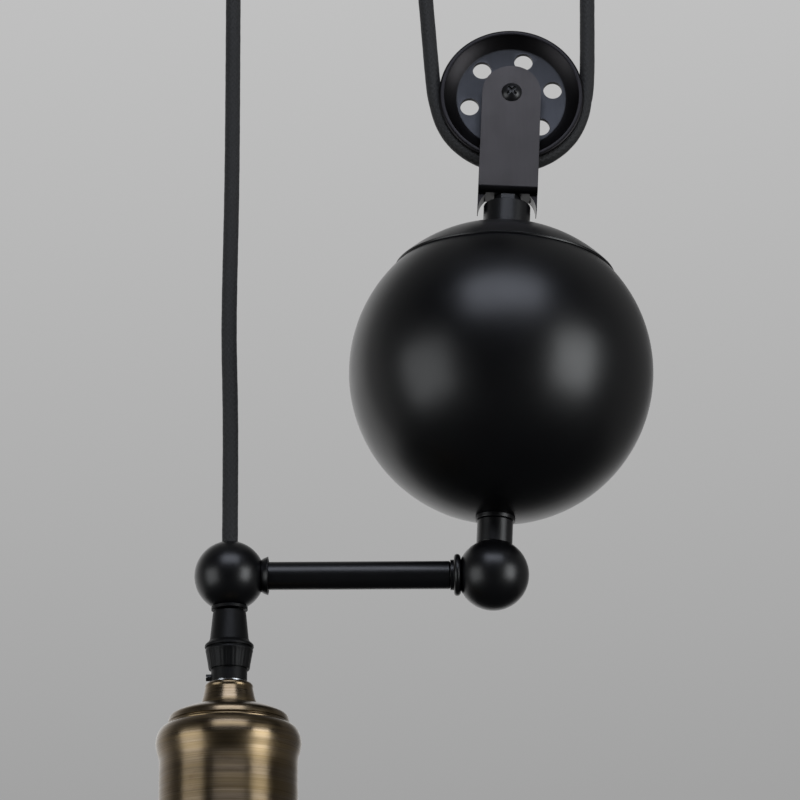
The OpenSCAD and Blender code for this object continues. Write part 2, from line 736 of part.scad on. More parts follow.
// Cord: one tube swept along a route, with ten sides
function unit(v) = v / norm(v);
function heading(route, i) = unit(route[min(i + 1, len(route) - 1)] - route[max(i - 1, 0)]);
module swept(route, side_way, r, sides = 10) {
    n = len(route);
    rings = [
        for (i = [0:n - 1])
            let (t = heading(route, i), u = unit(cross(t, side_way)), v = cross(t, u))
                for (k = [0:sides - 1]) let (a = k * 360 / sides) route[i] + r * (cos(a) * u + sin(a) * v)
    ];
    walls = [
        for (i = [0:n - 2]) for (k = [0:sides - 1])
            let (a = i * sides + k, b = i * sides + (k + 1) % sides)
                each [[a, b + sides, b], [a, a + sides, b + sides]]
    ];
    first = [for (k = [0:sides - 1]) k];
    last = [for (k = [sides - 1:-1:0]) (n - 1) * sides + k];
    polyhedron(points = rings, faces = concat(walls, [first, last]));
}
function straight(p, q, n) = [for (i = [0:n]) p + (q - p) * i / n];
cord_step = 15;
function steps(p, q) = ceil(norm(q - p) / cord_step);
module stretch(p, q) {
    along = unit(q - p) * cord_gap;
    swept(straight(p + along, q - along, steps(p, q)), [0, 1, 0], cord_r);
}
// Part of a ring of cord round a pulley, between two angles from +X towards +Z
module wrap(a_from, a_to) {
    rotate([90, 0, 0]) rotate([0, 0, a_from]) rotate_extrude(angle = a_to - a_from)
        translate([line_r, 0]) circle(r = cord_r, $fn = 32);
}
module top_wrap() { color(cord_black) translate([-pulley_offset, 0, top_axle_z]) wrap(left_lean, 180); }
module bottom_wrap() {
    color(cord_black) translate([weight_x, 0, weight_axle_z]) wrap(180 + left_lean, 360 - right_lean);
}
module lamp_cord() { color(cord_black) stretch([lamp_x, 0, top_axle_z], [lamp_x, 0, lamp_z]); }
module left_leg() { color(cord_black) stretch(left_leg_top, left_leg_foot); }
module right_leg() { color(cord_black) stretch(right_leg_top, right_leg_foot); }

// The cord inside the anchor and the canopy, bent over to the terminal block
supply_route = [
    [0, -29], [0, -19], [0, -9], [0, 0], [0, 5], [-1.5, 9], [-5, 12], [-9.5, 12.5], [-13, 10.5],
];
supply_foot_z = canopy_floor_z + 4;
supply_turn = 45;
supply_end = supply_route[len(supply_route) - 1];
function supply_point(p) = [
    anchor_offset + p[0] * cos(supply_turn), -p[0] * sin(supply_turn), supply_foot_z + p[1],
];
module supply_cord() {
    color(cord_black) swept(
        [for (p = supply_route) supply_point(p)],
        [sin(supply_turn), cos(supply_turn), 0], cord_r
    );
}
core_r = 0.9;
core_gap = 0.02;
core_pitch = 1.9;
module supply_cores() {
    out = unit(supply_point(supply_end) - supply_point(supply_route[len(supply_route) - 2]));
    up = cross([sin(supply_turn), cos(supply_turn), 0], out);
    start = supply_point(supply_end) + out * core_gap;
    color(zinc) for (i = [0:2]) {
        goal = [block_x + block_w / 2 - 3, block_y + (i - 1) * way_pitch, way_z];
        from = start + (i - 1) * core_pitch * unit(up) * sign(up[2]);
        middle = [goal[0] + 9, goal[1] - 1, goal[2] + 0.5];
        route = [from, from + out * 1.5, (from + middle) / 2 + [-1, 1, 0], middle, goal + [3, 0, 0], goal];
        swept(route, [0, 0, 1], core_r, 8);
    }
}

// Counterweight
module weight_yoke() { color(steel_black) at_weight() yoke(); }
module weight_axle() { color(black) at_weight() axle_screw(); }
// Nuts on the tie rod's top end and on the lower axle
module weight_nuts() {
    color(black) at_weight() {
        yoke_nuts();
        axle_nut();
    }
}
module weight_spacers() { color(zinc) at_weight() spacers(); }
module weight_pulley() { color(steel_black) translate([weight_x, 0, weight_axle_z]) sheave(); }
module weight_bush() { color(brass_old) translate([weight_x, 0, weight_axle_z]) sheave_bush(); }
module weight_collar() {
    color(black) at_weight()
        sleeve(collar_d / 2, rod_d / 2 + sheet_clear, -ball_drop + lid_seat, -yoke_drop - foot_nut_h);
}
module ball_lid() {
    color(black) at_weight() translate([0, 0, -ball_drop]) difference() {
        intersection() {
            sphere(r = lid_r);
            translate([0, 0, seam_h]) cylinder(r = ball_d, h = lid_seat - seam_h);
        }
        intersection() {
            sphere(r = lid_inner_r);
            translate([0, 0, -1]) cylinder(r = ball_d, h = lid_roof + 1);
        }
        cylinder(r = rod_d / 2 + sheet_clear, h = ball_d);
    }
}
module ball_shell() {
    color(black) at_weight() translate([0, 0, -ball_drop]) difference() {
        intersection() {
            sphere(r = ball_r);
            translate([0, 0, -ring_seat]) cylinder(r = ball_d, h = ring_seat + seam_h + lid_lap);
        }
        intersection() {
            sphere(r = ball_r - shell_wall);
            translate([0, 0, -shell_floor]) cylinder(r = ball_d, h = shell_floor + ball_d);
        }
        translate([0, 0, -ball_d]) cylinder(r = rod_d / 2 + sheet_clear, h = ball_d);
    }
}
module disc(r, z_low) { sleeve(r, rod_d / 2 + sheet_clear, z_low, z_low + disc_h); }
module middle_disc() {
    color(zinc) at_weight() translate([0, 0, -ball_drop]) disc(mid_disc_r, -disc_h / 2);
}
module end_discs() {
    color(zinc) at_weight() translate([0, 0, -ball_drop])
        for (z = [-1.5, 0.5]) disc(end_disc_r, z * disc_h);
}
module disc_sleeves() {
    stack = 1.5 * disc_h;
    color(zinc) at_weight() translate([0, 0, -ball_drop]) {
        sleeve(sleeve_d / 2, rod_d / 2 + sheet_clear, stack, lid_roof);
        sleeve(sleeve_d / 2, rod_d / 2 + sheet_clear, -shell_floor, -stack);
    }
}
rod_foot = -elbow_drop + elbow_r - thread_grip;
module tie_rod() {
    color(zinc) at_weight() translate([0, 0, rod_foot]) cylinder(d = rod_d, h = rod_top - rod_foot);
}
module seat_ring() {
    color(black) at_weight() sleeve(seat_ring_d / 2, rod_d / 2 + sheet_clear,
        -ball_drop - ring_seat - seat_ring_h, -ball_drop - ring_seat);
}
module neck_collar() {
    color(black) at_weight() sleeve(neck_collar_d / 2, rod_d / 2 + sheet_clear,
        -elbow_drop + elbow_seat, -ball_drop - ring_seat - seat_ring_h);
}
module elbow_ball() {
    color(black) difference() {
        at_weight() translate([0, 0, -elbow_drop]) difference() {
            sphere(r = elbow_r);
            translate([0, 0, elbow_seat]) cylinder(r = elbow_r, h = elbow_r);
            translate([0, 0, elbow_r - thread_grip]) cylinder(d = rod_d, h = elbow_r);
        }
        at_arm() translate([0, 0, stud_from]) cylinder(d = stud_d, h = elbow_r);
        at_arm() translate([0, 0, elbow_face]) cylinder(r = elbow_r, h = elbow_r);
    }
}

// Guide arm, drawn upwards from the elbow ball
module arm_stud() {
    color(zinc) at_arm() translate([0, 0, stud_from]) cylinder(d = stud_d, h = stud_to - stud_from);
}
module arm_tube() {
    color(black) at_arm() sleeve(tube_d / 2, tube_d / 2 - tube_wall, tube_from, tube_to);
}
module elbow_washer() {
    rim = elbow_washer_t / 2;
    color(black) at_arm() {
        difference() {
            union() {
                translate([0, 0, elbow_face]) cylinder(r = elbow_washer_d / 2 - rim, h = elbow_washer_t);
                translate([0, 0, elbow_face + rim]) rotate_extrude()
                    translate([elbow_washer_d / 2 - rim, 0]) circle(r = rim, $fn = 32);
                translate([0, 0, step_from]) cylinder(d = step_ring_d, h = step_ring_t);
            }
            translate([0, 0, elbow_face - 1])
                cylinder(r = stud_d / 2 + sheet_clear, h = tube_from - elbow_face + 2);
        }
    }
}
module guide_washer() {
    profile = [
        [stud_d / 2 + sheet_clear, 0], [seat_ring_r + 0.3, 0],
        [dish_d / 2 - 0.4, -dish_t * 0.45], [dish_d / 2, -dish_t],
        [dish_d / 2 - dish_wall / 2, -dish_t], [dish_d / 2 - dish_wall - 0.3, -dish_t * 0.55],
        [tube_d / 2 + 0.1, -dish_wall - 0.2], [tube_d / 2, -dish_t],
        [stud_d / 2 + sheet_clear, -dish_t],
    ];
    color(black) at_arm() translate([0, 0, guide_face]) rotate_extrude() polygon(profile);
}
module guide_ball() {
    color(black) difference() {
        at_guide() difference() {
            sphere(r = guide_r);
            translate([0, 0, -guide_r - 1]) cylinder(r = guide_bush_r, h = 2 * guide_r + 2);
            translate([0, 0, -guide_r - guide_flat]) cylinder(r = guide_r, h = guide_r);
        }
        at_arm() translate([0, 0, arm_l - guide_r]) cylinder(d = stud_d, h = stud_to - arm_l + guide_r);
        at_arm() translate([0, 0, guide_face - guide_r]) cylinder(r = guide_r, h = guide_r);
    }
}
module guide_bush() {
    color(plastic_black) at_guide() difference() {
        union() {
            translate([0, 0, -guide_flat]) cylinder(r = guide_bush_r, h = 2 * guide_flat);
            translate([0, 0, -guide_flat - guide_flange_t])
                cylinder(d = guide_flange_d, h = guide_flange_t);
        }
        translate([0, 0, -guide_r - 2]) cylinder(d = guide_bore_d, h = 2 * guide_r + 4);
    }
}

// Cord grip, drawn downwards from its top
module grip_cone() {
    profile = [
        [inner_bore_r, 0], [grip_top_d / 2 - 0.5, 0], [grip_top_d / 2, -0.5],
        [grip_foot_d / 2, -grip_cone_h],
        [grip_foot_d / 2 + 0.5, -grip_cone_h - grip_flare_h * 0.45],
        [grip_flare_d / 2, flare_foot + 0.7], [grip_flare_d / 2, flare_foot], [inner_bore_r, flare_foot],
    ];
    rotate_extrude() polygon(profile);
}
module grip_cap() { color(plastic_black) at_lamp() grip_cone(); }
// The gap line, the thin flange and the ribbed taper, then the plain neck ring
module grip_body() {
    waist = grip_body_d / 2 - 0.5;
    profile = [
        [inner_bore_r, flare_foot], [waist, flare_foot], [waist, flare_foot - 0.3],
        [grip_body_d / 2 - 0.3, flare_foot - 0.3], [grip_body_d / 2, flare_foot - 1.2],
        [grip_body_foot_d / 2, body_foot], [neck_ring_d / 2, body_foot], [neck_ring_d / 2, ring_foot],
        [inner_bore_r, ring_foot],
    ];
    taper = atan2(grip_body_d / 2 - grip_body_foot_d / 2, grip_body_h - 1.2);
    color(plastic_black) at_lamp() difference() {
        rotate_extrude() polygon(profile);
        translate([0, 0, ring_foot - 1]) cylinder(d = nipple_d, h = nipple_top - ring_foot + 1);
        for (i = [0:rib_count - 1]) rotate([0, 0, i * 360 / rib_count])
            translate([grip_body_d / 2, 0, flare_foot - 1.2]) rotate([0, 180 + taper, 45])
                translate([-rib_depth, -rib_depth, 0.4])
                    cube([2 * rib_depth, 2 * rib_depth, grip_body_h]);
        translate([0, 0, lock_screw_z]) rotate([0, -90, 0])
            cylinder(d = lock_screw_d, h = grip_body_d);
    }
}
lock_screw_z = ring_foot + lock_screw_d / 2 + 0.15;
module lock_screw() {
    color(black) at_lamp() translate([0, 0, lock_screw_z]) difference() {
        rotate([0, -90, 0]) translate([0, 0, nipple_d / 2])
            cylinder(d = lock_screw_d, h = lock_screw_r - nipple_d / 2);
        translate([-lock_screw_r - 0.5, -lock_screw_d, -0.2]) cube([1, 2 * lock_screw_d, 0.4]);
    }
}
// The cord's end inside the grip, and its two wires down to the posts
module lamp_cord_end() {
    color(cord_black) at_lamp() translate([0, 0, nipple_foot - 1])
        cylinder(d = cord_d, h = 1 - nipple_foot - cord_gap);
}
module lamp_cores() {
    goal_z = insulator_top + post_h / 2 + 0.1;
    color(plastic_black) at_lamp() for (side = [-1, 1]) swept([
        [side * 1.2, 0, nipple_foot - 1.1], [side * 1.6, 0, nipple_foot - 3],
        [side * post_offset * 0.5, 0, nipple_foot - 5.5],
        [side * post_offset * 0.9, 0, nipple_foot - 7.5],
        [side * post_offset, 0, insulator_top + post_h + 0.5], [side * post_offset, 0, goal_z],
    ], [0, 1, 0], core_r, 8);
}
module nipple() {
    color(zinc) at_lamp() sleeve(nipple_d / 2, nipple_bore_d / 2, nipple_foot, nipple_top);
}
module nipple_nut() {
    z_low = neck_foot - brass_wall - nipple_nut_h;
    color(zinc) at_lamp() hex_nut(nipple_nut_af, nipple_d / 2, z_low, nipple_nut_h);
}

// Lampholder
function arc(cx, cz, r, a_from, a_to, n) = [for (i = [0:n]) let (a = a_from + (a_to - a_from) * i / n)
    [cx + r * cos(a), cz + r * sin(a)]];
module brass_neck() {
    edge = brass_neck_edge;
    color(brass_old) at_lamp() rotate_extrude() polygon(concat(
        [[nipple_d / 2, neck_foot], [brass_neck_d / 2, neck_foot]],
        arc(brass_neck_d / 2 - edge, ring_foot - edge, edge, 0, 90, 8),
        [[nipple_d / 2, ring_foot]]
    ));
}
// The dome is part of a circle that leaves the neck nearly flat and ends at 45 degrees
dome_start = 75;
dome_end = 45;
dome_r = cap_h / (sin(dome_start) - sin(dome_end));
dome_cx = cap_r - dome_r * cos(dome_end);
dome_cz = neck_foot - dome_r * sin(dome_start);
module holder_cap() {
    outer = arc(dome_cx, dome_cz, dome_r, dome_start, dome_end, 12);
    inner = arc(dome_cx, dome_cz, dome_r - brass_wall, dome_end, dome_start, 12);
    color(brass_old) at_lamp() rotate_extrude() polygon(concat(
        [[nipple_d / 2, neck_foot]], outer, [[cap_r - brass_wall / 2, cap_foot - cap_groove]],
        [[cap_r - 1.5 * brass_wall, cap_foot - cap_groove]], inner,
        [[nipple_d / 2, neck_foot - brass_wall]]
    ));
}
function shoulder(t) = shoulder_r - (shoulder_r - cap_r) * (1 - sqrt(1 - t * t));
function hip(t) = skirt_r + (shoulder_r - skirt_r) * (1 + cos(180 * t)) / 2;
shoulder_n = 12;
function shell_line(wall) = concat(
    [for (i = [shoulder_n:-1:0]) let (t = i / shoulder_n)
        [shoulder(t) - wall, shoulder_z + shoulder_up * t]],
    [for (i = [1:shoulder_n]) let (t = i / shoulder_n)
        [hip(t) - wall, shoulder_z - shoulder_down * t]]
);
module holder_shell() {
    ridges = floor(shade_thread_h / shade_pitch);
    outer = shell_line(0);
    inner = shell_line(brass_wall);
    n = len(inner);
    color(brass_old) at_lamp() difference() {
        rotate_extrude() polygon(concat(
            outer,
            [[skirt_r, skirt_foot], [shade_thread_r, skirt_foot], [shade_thread_r, thread_foot],
             [thread_inner_r, thread_foot], [thread_inner_r, step_z], [skirt_r - brass_wall, step_z]],
            [for (i = [n - 1:-1:0]) inner[i]]
        ));
        for (i = [0:ridges - 1]) sleeve(shade_thread_r + 1, thread_core_r,
            thread_foot + i * shade_pitch, thread_foot + i * shade_pitch + shade_pitch / 2);
    }
}
module shade_ring() {
    z_low = skirt_foot - shade_ring_h;
    color(brass_old) at_lamp() difference() {
        translate([0, 0, z_low]) cylinder(r = shade_ring_r, h = shade_ring_h);
        translate([0, 0, z_low - 1]) cylinder(r = shade_thread_r, h = shade_ring_h + 2);
        for (i = [0:shade_grips - 1]) rotate([0, 0, i * 360 / shade_grips])
            translate([shade_ring_r + 0.6, 0, z_low - 1])
                cylinder(r = 1.3, h = shade_ring_h + 2, $fn = 16);
    }
}

// Socket inside the lampholder
module insulator() {
    color(ceramic_white) at_lamp() difference() {
        union() {
            translate([0, 0, insulator_foot])
                cylinder(r = insulator_r, h = insulator_top - insulator_foot);
            translate([0, 0, step_z]) cylinder(r = flange_r, h = flange_t);
        }
        translate([0, 0, insulator_foot - 1])
            cylinder(r = socket_bore_d / 2 + screw_wall, h = screw_top - insulator_foot + 1);
        translate([0, 0, screw_top - 1]) cylinder(d = recess_d, h = recess_top - screw_top + 1);
        translate([0, 0, recess_top - 1])
            cylinder(r = contact_stem_d / 2 + running_clear, h = stem_hole_h + 1);
    }
}
// Two brass posts on the insulator, each with a hole for its wire
module lamp_terminals() {
    color(brass_old) at_lamp() for (side = [-1, 1])
        translate([side * post_offset, 0, insulator_top]) difference() {
            translate([-post_w / 2, -post_w / 2, 0]) cube([post_w, post_w, post_h]);
            translate([0, 0, post_h / 2]) cylinder(r = core_r + 0.1, h = post_h);
        }
}
module screw_shell() {
    color(brass_old) at_lamp()
        sleeve(socket_bore_d / 2 + screw_wall, socket_bore_d / 2, screw_foot, screw_top);
}
module centre_contact() {
    color(brass_old) at_lamp() translate([0, 0, screw_top + contact_rise]) {
        cylinder(d = contact_d, h = contact_t);
        cylinder(d = contact_stem_d, h = contact_t + contact_gap + stem_hole_h - 0.4);
    }
}

ceiling_bar();
canopy();
canopy_screws();
terminal_block();
terminal_screws();
top_stem();
ceiling_nuts();
stem_washer();
top_collar();
top_yoke();
top_axle();
top_spacers();
top_pulley();
top_bush();
anchor_cap();
anchor_body();
supply_cord();
supply_cores();
top_wrap();
lamp_cord();
left_leg();
right_leg();
bottom_wrap();
weight_yoke();
weight_axle();
weight_nuts();
weight_spacers();
weight_pulley();
weight_bush();
weight_collar();
ball_lid();
ball_shell();
middle_disc();
end_discs();
disc_sleeves();
tie_rod();
seat_ring();
neck_collar();
elbow_ball();
arm_stud();
arm_tube();
elbow_washer();
guide_washer();
guide_ball();
guide_bush();
grip_cap();
grip_body();
lock_screw();
lamp_cord_end();
lamp_cores();
nipple();
nipple_nut();
brass_neck();
holder_cap();
holder_shell();
shade_ring();
insulator();
lamp_terminals();
screw_shell();
centre_contact();
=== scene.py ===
"""Rise and fall pendant: the looks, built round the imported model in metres."""

import math

import bmesh
import bpy
from mathutils import Matrix, Vector


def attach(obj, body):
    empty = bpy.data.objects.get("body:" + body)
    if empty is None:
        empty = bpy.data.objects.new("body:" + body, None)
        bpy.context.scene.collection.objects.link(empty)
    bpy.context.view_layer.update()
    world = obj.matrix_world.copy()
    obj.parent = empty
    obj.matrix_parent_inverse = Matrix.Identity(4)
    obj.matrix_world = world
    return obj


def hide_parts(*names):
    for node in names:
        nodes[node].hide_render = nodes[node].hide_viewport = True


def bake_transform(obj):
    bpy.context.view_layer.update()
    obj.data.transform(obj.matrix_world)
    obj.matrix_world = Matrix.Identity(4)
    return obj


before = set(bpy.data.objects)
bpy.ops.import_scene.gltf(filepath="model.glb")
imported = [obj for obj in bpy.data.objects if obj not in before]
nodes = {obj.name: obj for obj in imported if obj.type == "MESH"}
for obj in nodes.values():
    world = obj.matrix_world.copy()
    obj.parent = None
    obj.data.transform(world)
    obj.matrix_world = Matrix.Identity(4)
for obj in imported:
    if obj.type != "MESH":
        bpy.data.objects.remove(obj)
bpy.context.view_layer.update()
MM = 0.001

# ---------------------------------------------------------------- sizes, in mm
LINE_R, CORD_R = 24.9, 2.6  # of the cord's centre line round a pulley, and of the cord
AXLE_GAP, SPAN = 299.0, 95.5  # pulley to pulley, and the lamp's cord to the lower pulley
YOKE_DROP, FOOT_NUT = 37.0, 3.4
ROD_HOLE, CORD_HOLE, NIPPLE_R, COLLAR_R = 2.65, 2.7, 4.9, 7.9
TOP_X, TOP_Z = -56.2, -76.0
LAMP_X = TOP_X - LINE_R
WEIGHT_X, WEIGHT_Z = LAMP_X + SPAN, TOP_Z - AXLE_GAP
LEAN, RISE = math.radians(3.8), math.radians(0.77)  # of the counterweight, and of its arm
BALL_DROP, ELBOW_DROP = 100.3, 169.3
BALL_R, ELBOW_R, GUIDE_R = 50.0, 11.5, 11.3
ELBOW_X = WEIGHT_X - ELBOW_DROP * math.sin(LEAN)
ELBOW_Z = WEIGHT_Z - ELBOW_DROP * math.cos(LEAN)
ARM_L = (ELBOW_X - LAMP_X) / math.cos(RISE)
GUIDE_Z = ELBOW_Z + ARM_L * math.sin(RISE)
BUSH_R, BUSH_LIP = 4.6, 1.1
GUIDE_FLAT = math.sqrt(GUIDE_R**2 - (BUSH_R + 0.2) ** 2)
GRIP_GAP = 0.3
LAMP_Z = GUIDE_Z - GUIDE_FLAT - BUSH_LIP - GRIP_GAP
ANCHOR_X, ANCHOR_Z = 56.5, -52.0
CANOPY_R, CANOPY_H, CANOPY_EDGE, SHEET = 75.0, 28.0, 3.5, 1.2

# Leans of the two stretches of the loop, from the pulleys' centres
SHIFT = WEIGHT_X - TOP_X
LEFT_LEAN = math.atan2(SHIFT, AXLE_GAP) - math.asin(2 * LINE_R / math.hypot(SHIFT, AXLE_GAP))
ANCHOR_DX, ANCHOR_DZ = ANCHOR_X - WEIGHT_X, ANCHOR_Z - WEIGHT_Z
RIGHT_LEAN = math.atan2(ANCHOR_DX, ANCHOR_DZ) - math.asin(
    LINE_R / math.hypot(ANCHOR_DX, ANCHOR_DZ)
)


def at(x, y, z):
    """A move, in mm."""
    return Matrix.Translation(Vector((x, y, z)) * MM)


def turn(degrees, axis):
    """A turn about an axis through the origin."""
    return Matrix.Rotation(math.radians(degrees), 4, axis)


WEIGHT = at(WEIGHT_X, 0, WEIGHT_Z) @ Matrix.Rotation(LEAN, 4, "Y")
BALL = WEIGHT @ at(0, 0, -BALL_DROP)
ARM = at(ELBOW_X, 0, ELBOW_Z) @ Matrix.Rotation(RISE - math.pi / 2, 4, "Y")
ELBOW = WEIGHT @ at(0, 0, -ELBOW_DROP)
GUIDE = at(LAMP_X, 0, GUIDE_Z)
LAMP = at(LAMP_X, 0, LAMP_Z)
TOP = at(TOP_X, 0, TOP_Z)
ANCHOR = at(ANCHOR_X, 0, ANCHOR_Z) @ turn(180, "X")
TOP_WHEEL = TOP @ turn(90, "X")
WEIGHT_WHEEL = at(WEIGHT_X, 0, WEIGHT_Z) @ turn(90, "X")

# ------------------------------------------------------------------- camera
SENSOR_MM, FOCAL_PX, PICTURE_PX = 36.0, 2500, 800
CAMERA_AT, PITCH, ROLL = (-25.59, -770.70, -764.39), 110, -1.055
scene = bpy.context.scene
lens = bpy.data.cameras.new("camera")
camera = bpy.data.objects.new("camera", lens)
scene.collection.objects.link(camera)
lens.sensor_width = SENSOR_MM
lens.lens = SENSOR_MM * FOCAL_PX / PICTURE_PX
lens.clip_start = 0.01
camera.matrix_world = at(*CAMERA_AT) @ turn(PITCH, "X") @ turn(ROLL, "Z")
scene.camera = camera


# ---------------------------------------------------------------- materials
def add(tree, kind, inputs=None, **settings):
    """A shader node of that kind; a pair (node, socket) or a number feeds each input."""
    made = tree.nodes.new("ShaderNode" + kind)
    for name, value in settings.items():
        setattr(made, name, value)
    for name, value in (inputs or {}).items():
        if isinstance(value, tuple) and isinstance(value[0], bpy.types.Node):
            tree.links.new(value[0].outputs[value[1]], made.inputs[name])
        else:
            made.inputs[name].default_value = value
    return made


def rgba(red, green, blue):
    """A colour given as a screen shows it, 0 to 255, made linear."""
    linear = [
        v / 12.92 if v <= 0.04045 else ((v + 0.055) / 1.055) ** 2.4
        for v in (red / 255, green / 255, blue / 255)
    ]
    return (*linear, 1.0)


def math_node(tree, operation, a, b=0.0, c=None):
    """Arithmetic on one to three values, its result on output 0."""
    inputs = {0: a, 1: b}
    if c is not None:
        inputs[2] = c
    return add(tree, "Math", inputs, operation=operation)


def start_finish(name, **sockets):
    """A new material with its shader's plain sockets set; returns it, its tree and its shader."""
    finish = bpy.data.materials.new(name)
    finish.use_nodes = True
    tree = finish.node_tree
    shader = tree.nodes["Principled BSDF"]
    for socket, value in sockets.items():
        shader.inputs[socket.replace("_", " ").title().replace("Ior", "IOR")].default_value = value
    return finish, tree, shader


def grain(tree, scale, detail=4.0, vector=None, rough=0.6):
    """Noise on the object's own coordinates, its scale in grains a metre."""
    if vector is None:
        vector = (add(tree, "TexCoord"), "Object")
    return add(
        tree, "TexNoise", {"Vector": vector, "Scale": scale, "Detail": detail, "Roughness": rough}
    )


def spread(tree, factor, low, high, to_low, to_high):
    """factor's stretch from low to high, mapped onto to_low to to_high."""
    return add(
        tree,
        "MapRange",
        {"Value": factor, "From Min": low, "From Max": high, "To Min": to_low, "To Max": to_high},
    )


def blend_colours(tree, factor, one, two):
    """one turning into two as factor goes from 0 to 1, on output 2."""
    mixed = add(tree, "Mix", {"Factor": factor}, data_type="RGBA")
    for socket, colour in ((6, one), (7, two)):
        if isinstance(colour, tuple) and isinstance(colour[0], bpy.types.Node):
            tree.links.new(colour[0].outputs[colour[1]], mixed.inputs[socket])
        else:
            mixed.inputs[socket].default_value = colour
    return mixed


def into(tree, shader, socket, made, output):
    """Feeds a socket of the shader from a node's output."""
    tree.links.new(made.outputs[output], shader.inputs[socket])


def bump(tree, shader, height, distance, strength):
    """Relief from a height, its distance in metres."""
    made = add(tree, "Bump", {"Height": height, "Distance": distance, "Strength": strength})
    into(tree, shader, "Normal", made, "Normal")


def scaled(colour, by, more=0.0):
    """A colour made darker or lighter, up to white."""
    return (*(min(1, v * by + more) for v in colour[:3]), 1)


def satin_paint(name, colour, low_rough, high_rough):
    """Sprayed satin paint: fine orange peel, slow changes of gloss and a trace of dust."""
    finish, tree, shader = start_finish(name, specular_ior_level=0.3)
    slow = grain(tree, 45, 3)
    rough = spread(tree, (slow, "Fac"), 0.3, 0.7, low_rough, high_rough)
    into(tree, shader, "Roughness", rough, "Result")
    dust = grain(tree, 2600, 2)
    specks = spread(tree, (dust, "Fac"), 0.72, 0.82, 0.0, 0.12)
    pale = scaled(colour, 2.6, 0.01)
    tint = blend_colours(tree, (specks, "Result"), colour, pale)
    into(tree, shader, "Base Color", tint, 2)
    bump(tree, shader, (grain(tree, 1500, 2), "Fac"), 0.00002, 0.5)
    return finish


def dark_plate(name, colour, low_rough=0.44, high_rough=0.56):
    """Blackened steel: fine rolling lines, a few faint scratches, uneven gloss."""
    finish, tree, shader = start_finish(name, metallic=1.0)
    here = add(tree, "TexCoord")
    rolled = add(tree, "Mapping", {"Vector": (here, "Object"), "Scale": (900, 900, 60)})
    lines = grain(tree, 1.0, 3, (rolled, "Vector"))
    slow = grain(tree, 70, 4)
    rough = spread(tree, (slow, "Fac"), 0.3, 0.7, low_rough, high_rough)
    into(tree, shader, "Roughness", rough, "Result")
    # Short scratches: thin bands of a stretched, turned noise
    turned_map = add(
        tree,
        "Mapping",
        {"Vector": (here, "Object"), "Rotation": (0.0, 0.6, 0.0), "Scale": (1500, 200, 150)},
    )
    scratch = grain(tree, 1.0, 1, (turned_map, "Vector"))
    patches = grain(tree, 90, 1)
    thin = spread(tree, (scratch, "Fac"), 0.74, 0.78, 0.0, 0.5)
    here_and_there = spread(tree, (patches, "Fac"), 0.62, 0.68, 0.0, 1.0)
    both = math_node(tree, "MULTIPLY", (thin, "Result"), (here_and_there, "Result"))
    base = blend_colours(tree, (lines, "Fac"), scaled(colour, 0.82), colour)
    tint = blend_colours(tree, (both, 0), (base, 2), scaled(colour, 3.0))
    into(tree, shader, "Base Color", tint, 2)
    bump(tree, shader, (lines, "Fac"), 0.000015, 0.5)
    return finish


